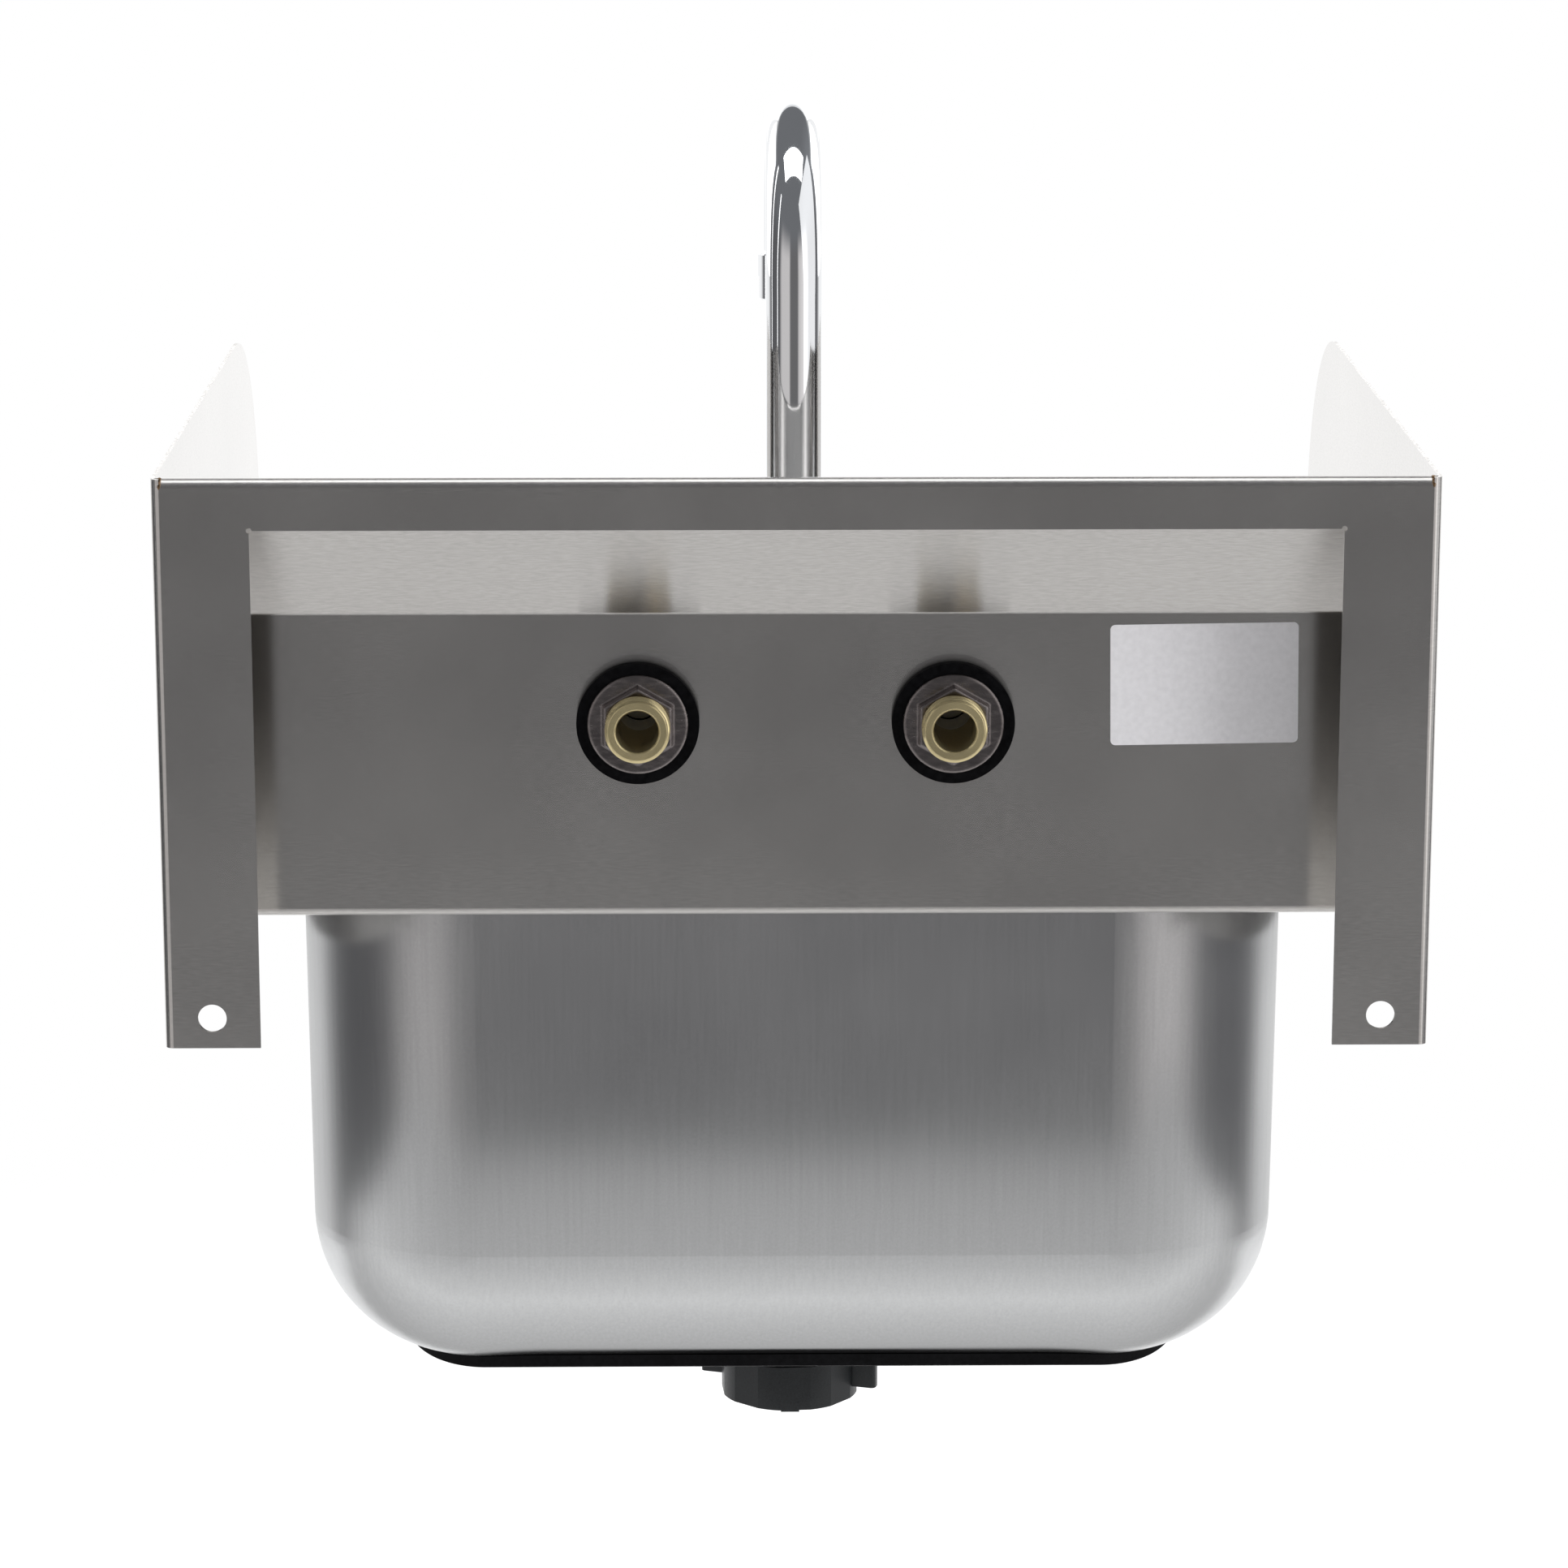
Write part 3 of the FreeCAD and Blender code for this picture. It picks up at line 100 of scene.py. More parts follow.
def length_property(name, description, default):
    return FloatProperty(name=name, description=description, default=default, unit="LENGTH",
                         precision=5)


def share_property(name, description, default):
    return FloatProperty(name=name, description=description, default=default, min=0.0, max=1.0,
                         subtype="FACTOR")


def angle_property(name, description, degrees):
    return FloatProperty(name=name, description=description, default=math.radians(degrees),
                         subtype="ANGLE")


def power_property(name, description, default):
    return FloatProperty(name=name, description=description, default=default, unit="POWER")


class SinkSteel(bpy.types.PropertyGroup):
    sheet: colour_property("Sheet", "Colour of the brushed sheet", (0.592, 0.576, 0.558))
    bowl: colour_property("Bowl", "Colour of the satin bowl", (0.57, 0.575, 0.58))
    strainer: colour_property("Strainer", "Colour of the pressed strainer", (0.62, 0.62, 0.63))
    plated: colour_property("Plating", "Colour of the plated locknuts", (0.29, 0.262, 0.258))
    sheet_roughness: share_property("Sheet roughness", "Blur of the brushed sheet", 0.228)
    sheet_brushing: share_property("Sheet brushing", "Stretch of the sheet's reflections", 0.945)
    side_sleekness: share_property("Side sleekness", "Roughness taken off the outer sides", 0.09)
    bowl_roughness: share_property("Bowl roughness", "Blur of the satin bowl", 0.23)
    bowl_brushing: share_property("Bowl brushing", "Stretch of the bowl's reflections", 0.9)
    nut_edge: length_property("Nut edges", "Radius that the locknuts' edges show", 0.0011)


class SinkTap(bpy.types.PropertyGroup):
    chrome: colour_property("Chrome", "Colour of the chrome plate", (0.86, 0.87, 0.885))
    brass: colour_property("Brass", "Colour of the turned brass", (0.74, 0.63, 0.36))
    brass_edge: length_property("Brass edges", "Radius that edges of the brass show", 0.0005)
    ceramic: colour_property("Ceramic", "Colour of the valve discs", (0.86, 0.85, 0.82))
    jets: colour_property("Jets", "Colour of the aerator's insert", (0.70, 0.71, 0.71))
    hot: colour_property("Hot", "Colour of the hot button", (0.62, 0.03, 0.025))
    cold: colour_property("Cold", "Colour of the cold button", (0.02, 0.10, 0.55))
    thread_pitch: length_property("Thread pitch", "Pitch of the half-inch pipe thread", 0.001814)
    thread_depth: length_property("Thread depth", "Crest to root of the pipe thread", 0.00105)
    thread_run: length_property("Thread run", "Bare thread behind the locknut", 0.0081)
    bore: length_property("Bore", "Radius of the shank's bore", 0.0067)


class SinkBlacks(bpy.types.PropertyGroup):
    pad: colour_property("Pad", "Colour of the damping pad", (0.004, 0.004, 0.0045))
    rubber: colour_property("Rubber", "Colour of washers and seals", (0.004, 0.004, 0.0045))
    plastic: colour_property("Plastic", "Colour of the moulded waste", (0.012, 0.0135, 0.015))


class SinkPlate(bpy.types.PropertyGroup):
    paper: colour_property("Foil", "Colour of the bare foil plate", (0.84, 0.835, 0.86))
    width: length_property("Width", "Width of the plate", 0.0596)
    height: length_property("Height", "Height of the plate", 0.0390)
    corner: length_property("Corner", "Corner radius of the plate", 0.0016)
    thickness: length_property("Thickness", "Thickness of the foil", 0.00012)
    across: length_property("Across", "Middle of the plate from the sink's middle", -0.1296)
    up: length_property("Up", "Middle of the plate above the screw holes", 0.0987)
    tilt: angle_property("Tilt", "Tilt of the plate, as stuck on by hand", -0.8)


class SinkWelds(bpy.types.PropertyGroup):
    rail: length_property("Rail", "Height of the rail that the wall flanges meet", 0.016)
    fold: length_property("Fold", "Outside radius of the folds", 0.0027)
    gap: length_property("Gap", "Width of the welded seams", 0.00015)
    sheet: length_property("Sheet", "Thickness of the sheet", 0.0012)
    relief: length_property("Relief", "Seam that stays open at the inner corner", 0.001)
    bead: length_property("Bead", "Radius of the weld beads", 0.0006)
    tint: colour_property("Heat tint", "Colour of the beads at the corners", (0.20, 0.13, 0.075))


class SinkStudio(bpy.types.PropertyGroup):
    camera_at: FloatVectorProperty(name="Camera", description="Place of the camera", size=3,
                                   unit="LENGTH", subtype="TRANSLATION",
                                   default=(0.02239, 1.58356, 0.44683))
    pitch: angle_property("Pitch", "Camera's look downwards", 13.2098)
    yaw: angle_property("Yaw", "Camera's look to the left of the sink", 0.6618)
    lens: FloatProperty(name="Lens", description="Focal length", default=120.125, unit="CAMERA")
    floor_drop: length_property("Floor", "Floor below the screw holes", 0.5)
    floor_reach: length_property("Floor radius", "Radius of the round floor", 1.4)
    floor_full: length_property("Floor middle", "Radius where the floor begins to fade", 0.8)
    floor_back: length_property("Floor place", "Floor's middle in front of the wall plane", 0.1)
    floor_colour: colour_property("Floor colour", "Colour of the floor", (0.68, 0.68, 0.68))
    floor_glow: share_property("Floor whitening", "Light added to the floor as it is seen", 0.65)
    card_drop: length_property("Card", "Reflecting card below the screw holes", 0.2)
    card_width: length_property("Card width", "Width of the reflecting card", 1.0)
    card_start: length_property("Card start", "Card's front edge behind the wall plane", -0.15)
    card_full: length_property("Card full", "Full light of the card behind the wall plane", -0.01)
    card_edge: length_property("Card edge", "Card's back edge behind the wall plane", 0.36)
    card_near: colour_property("Card near", "Card's light under the sink's back", (1.0, 1.0, 1.0))
    card_front: colour_property("Card front", "Card's light at its front edge", (0.5, 0.5, 0.5))
    card_far: colour_property("Card far", "Card's light at its back edge", (0.52, 0.52, 0.52))
    card_fall: share_property("Card fall-off", "Power by which the card's light falls off", 0.6)
    surround: colour_property("Surround", "Soft light from the white surround", (0.9, 0.9, 0.91))
    room_reach: length_property("Room radius", "Radius of the room's shell", 5.0)
    wing: colour_property("Wings", "Dim sides of the room", (0.11, 0.11, 0.115))
    wall: colour_property("Wall", "Pale walls to both sides of the gap", (0.605, 0.585, 0.58))
    gap: colour_property("Gap", "Dark gap straight behind the camera", (0.15, 0.148, 0.15))
    gap_foot: colour_property("Gap foot", "Dim floor at the gap's foot", (0.14, 0.14, 0.145))
    hot_side: share_property("Hot side", "Share of light added on the room's hot side", 0.35)
    ceiling: colour_property("Ceiling", "Dim ceiling", (0.16, 0.165, 0.175))
    top_power: power_property("Overhead", "Power of the overhead panel", 11.0)
    side_power: power_property("Sides", "Power of each side panel", 7.0)
    back_power: power_property("Back", "Power of each panel beside the camera", 12.0)
    front_power: power_property("Front", "Power of the low panel at the user's side", 0.3)
    user_power: power_property("User's side", "Power of the panel at the user's side", 5.0)
    softbox_power: power_property("Softbox", "Power of the softbox at the hot side", 14.5)
    strip_power: power_property("Strips", "Power of each strip at the cold side", 0.8)


class Nodes:
    """A material's or world's node tree, with short ways to add nodes and to join them."""

    def __init__(self, owner, output="Material Output"):
        owner.use_nodes = True
        self.tree = owner.node_tree
        self.surface = self.tree.nodes[output].inputs["Surface"]

    def node(self, kind, **options):
        made = self.tree.nodes.new(kind)
        for key, value in options.items():
            setattr(made, key, value)
        return made

    def feed(self, socket, value):
        """Joins another node's output to the socket, or sets the socket's own value."""
        if isinstance(value, bpy.types.NodeSocket):
            self.tree.links.new(value, socket)
        else:
            socket.default_value = value

    def coordinates(self, kind="Object"):
        return self.node("ShaderNodeTexCoord").outputs[kind]

    def axes(self, vector):
        split = self.node("ShaderNodeSeparateXYZ")
        self.feed(split.inputs["Vector"], vector)
        return [split.outputs[axis] for axis in "XYZ"]

    def calc(self, operation, *values):
        node = self.node("ShaderNodeMath", operation=operation)
        for socket, value in zip(node.inputs, values):
            self.feed(socket, value)
        return node.outputs["Value"]

    def span(self, source, from_low, from_high, low=0.0, high=1.0, rise="LINEAR"):
        """Carries the source's range over to the range from low to high."""
        node = self.node("ShaderNodeMapRange", interpolation_type=rise)
        for name, value in (("From Min", from_low), ("From Max", from_high), ("To Min", low),
                            ("To Max", high), ("Value", source)):
            self.feed(node.inputs[name], value)
        return node.outputs["Result"]

    def ramp(self, source, low, high):
        """Smooth rise from nought at low to one at high."""
        return self.span(source, low, high, rise="SMOOTHSTEP")

    def mix(self, first, second, share):
        """Blend of two colours; a share of one gives the second."""
        node = self.node("ShaderNodeMix", data_type="RGBA")
        for name, value in (("A", first), ("B", second), ("Factor", share)):
            self.feed(node.inputs[name], value)
        return node.outputs["Result"]

    def show(self, first, second, share):
        """Blend of two shaders as the surface; a share of one gives the second."""
        node = self.node("ShaderNodeMixShader")
        for socket, value in zip(node.inputs, (share, first, second)):
            self.feed(socket, value)
        self.feed(self.surface, node.outputs["Shader"])

    def seen(self):
        """One for rays from the camera, or from it by way of metal or glass."""
        path = self.node("ShaderNodeLightPath")
        total = path.outputs["Is Camera Ray"]
        for name in ("Is Glossy Ray", "Is Transmission Ray"):
            total = self.calc("MAXIMUM", total, path.outputs[name])
        return total


class Finish(Nodes):
    """A node material under construction; every finish starts from the object's own coordinates."""

    def __init__(self, name, colour, roughness, metallic=0.0):
        self.material = bpy.data.materials.new(name)
        super().__init__(self.material)
        self.shader = self.tree.nodes["Principled BSDF"]
        self.shader.inputs["Metallic"].default_value = metallic
        self.colour = tuple(colour)
        self.roughness = roughness
        self.place = self.coordinates()

    def noise(self, scale=1.0, detail=3.0, stretch=(1.0, 1.0, 1.0), turn=(0.0, 0.0, 0.0)):
        """Grey noise, with more cells to the metre along an axis where stretch is larger."""
        mapping = self.node("ShaderNodeMapping")
        mapping.inputs["Scale"].default_value = stretch
        mapping.inputs["Rotation"].default_value = turn
        self.feed(mapping.inputs["Vector"], self.place)
        noise = self.node("ShaderNodeTexNoise")
        noise.inputs["Scale"].default_value = scale
        noise.inputs["Detail"].default_value = detail
        self.feed(noise.inputs["Vector"], mapping.outputs["Vector"])
        return noise.outputs["Fac"]

    def spread(self, noise, low, high):
        return self.span(noise, NOISE_LOW, NOISE_HIGH, low, high)

    def paint(self, *layers):
        """Base colour times each layer: a noise, and the least and the most of its factor."""
        total = None
        for noise, least, most in layers:
            layer = self.spread(noise, least, most)
            total = layer if total is None else self.calc("MULTIPLY", total, layer)
        tint = self.node("ShaderNodeVectorMath", operation="SCALE")
        tint.inputs[0].default_value = self.colour
        self.feed(tint.inputs["Scale"], total)
        self.feed(self.shader.inputs["Base Color"], tint.outputs["Vector"])
        return self

    def blur(self, noise, amount):
        """Roughness that strays by amount to each side."""
        self.feed(self.shader.inputs["Roughness"],
                  self.spread(noise, self.roughness - amount, self.roughness + amount))
        return self

    def bump(self, noise, height, strength):
        node = self.node("ShaderNodeBump")
        node.inputs["Distance"].default_value = height
        node.inputs["Strength"].default_value = strength
        self.feed(node.inputs["Height"], noise)
        self.feed(self.shader.inputs["Normal"], node.outputs["Normal"])
        return self

    def round_edges(self, radius):
        """Lets sharp edges catch the light as rounded ones do, under the bump already set."""
        edge = self.node("ShaderNodeBevel", samples=6)
        edge.inputs["Radius"].default_value = radius
        bump = self.shader.inputs["Normal"].links[0].from_node
        self.feed(bump.inputs["Normal"], edge.outputs["Normal"])
        return self

    def brush_across(self, amount, direction=None):
        """Stretches reflections along direction, or round the piece's upright axis."""
        self.shader.inputs["Anisotropic"].default_value = amount
        if direction:
            across = self.node("ShaderNodeCombineXYZ")
            for socket, value in zip(across.inputs, direction):
                socket.default_value = value
        else:
            across = self.node("ShaderNodeTangent", direction_type="RADIAL", axis="Z")
        self.feed(self.shader.inputs["Tangent"], across.outputs[0])
        return self

    def sleeker_sideways(self, amount):
        """Takes amount off the roughness of faces that look sideways, which are seen lengthwise."""
        sideways = self.calc("ABSOLUTE", self.axes(self.coordinates("Normal"))[0])
        roughness = self.shader.inputs["Roughness"]
        full = roughness.links[0].from_socket
        self.feed(roughness, self.calc("MULTIPLY_ADD", sideways, -amount, full))
        return self

    def shine(self, level):
        self.shader.inputs["Specular IOR Level"].default_value = level
        return self


def settings():
    return bpy.context.scene.sink_dressing


def opaque(colour):
    return (*colour, 1.0)


def both(*names):
    return [f"{side}_{name}" for side in ("hot", "cold") for name in names]


def wear(finish, *names):
    for name in names:
        mesh = NODES[name].data
        mesh.materials.clear()
        mesh.materials.append(finish.material)


def new_piece(name, mesh, finish):
    piece = bpy.data.objects.new(name, mesh)
    bpy.context.scene.collection.objects.link(piece)
    mesh.materials.append(finish.material)
    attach(piece, "sink")
    return piece


def skin(name, loops, ring=False, sharp=None):
    """Mesh over loops of points, capped at both ends or joined into a ring, smooth below sharp."""
    shape = bmesh.new()
    rows = [[shape.verts.new(place) for place in loop] for loop in loops]
    for first, second in zip(rows, rows[1:] + rows[:1] if ring else rows[1:]):
        for i in range(len(first)):
            j = (i + 1) % len(first)
            shape.faces.new((first[i], first[j], second[j], second[i]))
    if not ring:
        shape.faces.new(rows[0])
        shape.faces.new(rows[-1])
    bmesh.ops.recalc_face_normals(shape, faces=shape.faces)
    mesh = bpy.data.meshes.new(name)
    shape.to_mesh(mesh)
    shape.free()
    if sharp is not None:
        mesh.shade_smooth()
        mesh.set_sharp_from_angle(angle=sharp)
    return mesh


def brushed_sheet(name, stretch, across):
    steel = settings().steel
    finish = Finish(name, steel.sheet, steel.sheet_roughness, metallic=1.0)
    grain = finish.noise(detail=2.0, stretch=stretch)
    cloud = finish.noise(scale=14.0)
    finish.paint((grain, 0.93, 1.055), (cloud, 0.965, 1.03))
    finish.blur(cloud, 0.02)
    finish.bump(grain, height=0.000004, strength=0.3)
    return finish.brush_across(steel.sheet_brushing, across)


class SINK_OT_sheet(bpy.types.Operator):
    """Brushed steel on the folded deck and the two side splashes"""
    bl_idname = "sink.sheet"
    bl_label = "Sheet steel"

    def execute(self, context):
        wear(brushed_sheet("steel_brushed_lengthwise", *LENGTHWISE), "deck_and_backsplash")
        sides = brushed_sheet("steel_brushed_level", *LEVEL)
        sides.sleeker_sideways(settings().steel.side_sleekness)
        wear(sides, "side_splash_left", "side_splash_right")
        return {"FINISHED"}


class SINK_OT_bowl(bpy.types.Operator):
    """Satin upright grain on the drawn bowl and fine satin on its strainer"""
    bl_idname = "sink.bowl"
    bl_label = "Bowl and strainer"

    def execute(self, context):
        steel = settings().steel
        bowl = Finish("steel_satin_bowl", steel.bowl, steel.bowl_roughness, metallic=1.0)
        grain = bowl.noise(detail=2.0, stretch=(900.0, 900.0, 30.0))
        speck = bowl.noise(scale=1400.0, detail=2.0)
        bowl.paint((grain, 0.975, 1.02), (speck, 0.97, 1.025))
        bowl.blur(bowl.noise(scale=12.0), 0.02)
        bowl.bump(speck, height=0.000006, strength=0.3)
        bowl.brush_across(steel.bowl_brushing)
        wear(bowl, "bowl")
        pressed = Finish("steel_pressed", steel.strainer, roughness=0.26, metallic=1.0)
        fine = pressed.noise(scale=900.0, detail=2.0)
        pressed.paint((fine, 0.94, 1.04))
        pressed.blur(pressed.noise(scale=60.0), 0.06)
        pressed.bump(fine, height=0.00001, strength=0.4)
        wear(pressed, "strainer_plate", "strainer_screw", *both("handle_screw"))
        return {"FINISHED"}


class SINK_OT_blacks(bpy.types.Operator):
    """Damping pad, washers, seals and the moulded waste"""
    bl_idname = "sink.blacks"
    bl_label = "Rubber and plastic"

    def execute(self, context):
        blacks = settings().blacks
        pad = Finish("pad_rubber", blacks.pad, roughness=0.62).shine(0.05)
        grain = pad.noise(scale=700.0, detail=4.0)
        pad.paint((grain, 0.7, 1.5), (pad.noise(scale=25.0), 0.8, 1.3))
        pad.blur(grain, 0.08)
        pad.bump(grain, height=0.00012, strength=0.7)
        wear(pad, "damping_pad")
        rubber = Finish("seal_rubber", blacks.rubber, roughness=0.5).shine(0.02)
        surface = rubber.noise(scale=450.0)
        rubber.paint((surface, 0.7, 1.5))
        rubber.blur(rubber.noise(scale=80.0), 0.1)
        rubber.bump(surface, height=0.00005, strength=0.5)
        wear(rubber, "strainer_seal", "waste_seal", "cone_seal", "spout_o_rings", "aerator_gasket",
             *both("front_gasket", "rear_washer", "seat_seal"))
        plastic = Finish("waste_moulding", blacks.plastic, roughness=0.4).shine(0.3)
        spark = plastic.noise(scale=1600.0, detail=2.0)
        plastic.paint((spark, 0.8, 1.3), (plastic.noise(scale=40.0), 0.85, 1.2))
        plastic.blur(spark, 0.07)
        plastic.bump(spark, height=0.00004, strength=0.5)
        wear(plastic, "waste_body", "waste_nut")
        return {"FINISHED"}


class SINK_OT_tap(bpy.types.Operator):
    """Chrome tap, plated locknuts and the inner valve pieces"""
    bl_idname = "sink.tap"
    bl_label = "Tap"

    def execute(self, context):
        tap = settings().tap
        steel = settings().steel
        chrome = Finish("chrome_plate", tap.chrome, roughness=0.05, metallic=1.0)
        film = chrome.noise(scale=28.0, detail=4.0)
        chrome.paint((film, 0.97, 1.02)).blur(film, 0.018)
        wear(chrome, "tap_body", "spout_tube", "spout_nut", "aerator_housing",
             *both("escutcheon", "handle"))
        plated = Finish("plated_pressing", steel.plated, roughness=0.2, metallic=1.0)
        scuff = plated.noise(stretch=(260.0, 260.0, 900.0), turn=(0.0, 0.5, 0.0))
        plated.paint((scuff, 0.86, 1.1)).blur(scuff, 0.08)
        plated.bump(scuff, height=0.00001, strength=0.4).round_edges(steel.nut_edge)
        wear(plated, *both("locknut"))
        ceramic = Finish("valve_ceramic", tap.ceramic, roughness=0.16)
        ceramic.paint((ceramic.noise(scale=300.0), 0.96, 1.02))
        ceramic.blur(ceramic.noise(scale=90.0), 0.03)
        wear(ceramic, *both("fixed_disc", "moving_disc"))
        jets = Finish("jet_moulding", tap.jets, roughness=0.4)
        jets.paint((jets.noise(scale=400.0), 0.94, 1.03))
        jets.blur(jets.noise(scale=150.0), 0.06)
        wear(jets, "aerator_insert")
        for side, colour in (("hot", tap.hot), ("cold", tap.cold)):
            button = Finish(f"{side}_button", colour, roughness=0.22)
            button.paint((button.noise(scale=220.0), 0.9, 1.08))
            button.blur(button.noise(scale=120.0), 0.05)
            button.shader.inputs["Coat Weight"].default_value = 0.4
            wear(button, f"{side}_index_button")
        return {"FINISHED"}


class SINK_OT_brass(bpy.types.Operator):
    """Turned brass, with the pipe thread cut on the two shanks"""
    bl_idname = "sink.brass"
    bl_label = "Brass and threads"

    around = 96
    steps_per_pitch = 12
    bevel_share = 0.45  # of the thread's depth, at the shank's end
    flat_share = 0.1  # of a flank, at crest and root
    sharp = math.radians(40)

    def execute(self, context):
        tap = settings().tap
        brass = Finish("turned_brass", tap.brass, roughness=0.2, metallic=0.82)
        rings = brass.noise(detail=2.0, stretch=(60.0, 3800.0, 60.0))
        brass.paint((rings, 0.9, 1.06), (brass.noise(scale=70.0), 0.93, 1.04))
        brass.blur(rings, 0.06)
        brass.bump(rings, height=0.00001, strength=0.5).round_edges(tap.brass_edge)
        wear(brass, "screw_insert", "spout_collar", *both("headwork", "valve_stem"))
        for node in both("shank"):
            piece = new_piece(node + "_threaded", self.threaded_shank(node, tap), brass)
            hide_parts(node)
        return {"FINISHED"}

    def threaded_shank(self, node, tap):
        low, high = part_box(node)
        middle = (low + high) / 2
        crest = (high.x - low.x) / 2
        root = crest - tap.thread_depth
        bevel = tap.thread_depth * self.bevel_share
        start = high.y - tap.thread_run
        count = round(tap.thread_run / tap.thread_pitch * self.steps_per_pitch)
        stations = [start + (high.y - bevel - start) * i / count for i in range(count + 1)]

        def outside(turn, y):
            flank = abs(((y - start) / tap.thread_pitch - turn) % 1.0 - 0.5) * 2
            slope = (flank - self.flat_share) / (1 - 2 * self.flat_share)
            rounded = 0.5 - 0.5 * math.cos(math.pi * min(1.0, max(0.0, slope)))
            radius = root + (crest - root) * rounded
            near_end = max(0.0, (y - high.y + 2 * bevel) / bevel)
            return min(radius, crest - bevel * near_end)

        def plain(radius):
            return lambda turn, y: radius

        rings = [(low.y, plain(tap.bore)), (low.y, plain(root)), (start, plain(root))]
        rings += [(y, outside) for y in stations[1:]]
        rings += [(high.y, plain(crest - 2 * bevel)), (high.y, plain(tap.bore + bevel)),
                  (high.y - bevel, plain(tap.bore))]
        loops = []
        for y, radius in rings:
            loops.append([])
            for i in range(self.around):
                turn = i / self.around
                r = radius(turn, y)
                angle = 2 * math.pi * turn
                loops[-1].append((middle.x + r * math.cos(angle), y,
                                  middle.z + r * math.sin(angle)))
        return skin(node + "_threaded", loops, ring=True, sharp=self.sharp)


class SINK_OT_plate(bpy.types.Operator):
    """Bare foil plate on the back of the back splash"""
    bl_idname = "sink.plate"
    bl_label = "Bare plate"

    corner_steps = 8

    def execute(self, context):
        plate = settings().plate
        foil = Finish("bare_foil", plate.paper, roughness=0.42)
        fibre = foil.noise(scale=520.0, detail=4.0)
        foil.paint((fibre, 0.95, 1.03), (foil.noise(scale=30.0), 0.97, 1.02))
        foil.blur(fibre, 0.05)
        foil.bump(fibre, height=0.00001, strength=0.4)
        new_piece("rear_plate", self.sheet(plate), foil)
        return {"FINISHED"}

    def sheet(self, plate):
        outline = []
        x = plate.width / 2 - plate.corner
        z = plate.height / 2 - plate.corner
        for quarter, (across, up) in enumerate(((x, z), (-x, z), (-x, -z), (x, -z))):
            for i in range(self.corner_steps + 1):
                angle = math.pi / 2 * (quarter + i / self.corner_steps)
                outline.append((across + plate.corner * math.cos(angle),
                                up + plate.corner * math.sin(angle)))
        lean = Vector((math.cos(plate.tilt), math.sin(plate.tilt)))
        back = self.panel_back()
        return skin("rear_plate", [[(plate.across + a * lean.x - b * lean.y, y,
                                     plate.up + a * lean.y + b * lean.x) for a, b in outline]
                                   for y in (back, back + plate.thickness)])

    def panel_back(self):
        """The back splash's rear face, where the rear washers bear on it."""
        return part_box("hot_rear_washer")[0].y


class SINK_OT_welds(bpy.types.Operator):
    """Ground fillers in the mitres of rail and wall flanges, and small beads at the top corners"""
    bl_idname = "sink.welds"
    bl_label = "Welds"

    steps = 40
    around = 12
    sharp = math.radians(50)
    # Filler: how far it lies below the sheets, and the ripple left by grinding.
    sunk, ripple, ripple_turn = 0.00001, 0.000004, 2.1
    # Bead: the angle where it starts and the angle that it runs over, in degrees.
    bead_start, bead_run = -15, 125
    # Bead: share of its length that tapers at each end, and its size at the tip.
    taper, tip = 0.25, 0.35
    # Bead: height and turn of its lumps, how deep it sits, and its width to its height.
    lumps, lump_turn, bedded, flattened = 0.16, 1.9, 0.55, 1.25

    def execute(self, context):
        welds = settings().welds
        low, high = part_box("side_splash_right")
        ground = brushed_sheet("steel_ground_weld", *LEVEL)
        burnt = Finish("weld_bead", welds.tint, roughness=0.34, metallic=1.0)
        scale = burnt.noise(scale=900.0)
        burnt.paint((scale, 0.5, 1.9), (burnt.noise(scale=250.0), 0.7, 1.5))
        burnt.blur(scale, 0.1)
        burnt.bump(scale, height=0.00004, strength=0.6)
        for side, word in ((-1, "left"), (1, "right")):
            filler = skin("mitre_weld", self.filler(side, low, high, welds), sharp=self.sharp)
            new_piece(f"mitre_weld_{word}", filler, ground)
            bead = skin("corner_bead", self.bead(side, high, welds), sharp=self.sharp)
            new_piece(f"corner_bead_{word}", bead, burnt)
        return {"FINISHED"}

    def filler(self, side, low, high, welds):
        """Loops that fill the slanting seam, flush with the sheets on both sides of it."""
        foot = high.z - welds.rail
        lean = (welds.rail - welds.fold) / (high.x - low.x)
        start = low.x + welds.relief
        end = high.x - welds.fold - welds.gap
        loops = []
        for i in range(self.steps + 1):
            x = start + (end - start) * i / self.steps
            edge = foot + lean * (x - low.x)
            sunk = self.sunk + self.ripple * math.sin(self.ripple_turn * i)
            below, above = edge - welds.gap / 3, edge + welds.gap * (4 / 3 + lean)
            section = ((-sunk, below), (-sunk, above), (-welds.sheet, above), (-welds.sheet, below))
            loops.append([(side * x, y, z) for y, z in section])
        return loops

    def bead(self, side, high, welds):
        """Loops of a lumpy bead from the rail over its top fold, beside the side splash."""
        x = high.x - welds.fold - welds.gap / 2
        turn = Vector((-welds.fold, high.z - welds.fold))
        loops = []
        for i in range(self.steps + 1):
            angle = math.radians(self.bead_start + self.bead_run * i / self.steps)
            out = Vector((math.cos(angle), math.sin(angle)))
            ends = min(1.0, min(i, self.steps - i) / (self.taper * self.steps))
            lump = welds.bead * (self.tip + (1 - self.tip) * math.sqrt(ends))
            lump *= 1 + self.lumps * math.sin(self.lump_turn * i)
            middle = turn + out * (welds.fold - self.bedded * welds.bead)
            loops.append([])
            for j in range(self.around):
                roll = 2 * math.pi * j / self.around
                place = middle + out * lump * math.sin(roll)
                across = x + self.flattened * lump * math.cos(roll)
                loops[-1].append((side * across, min(place.x, 0.0), place.y))
        return loops


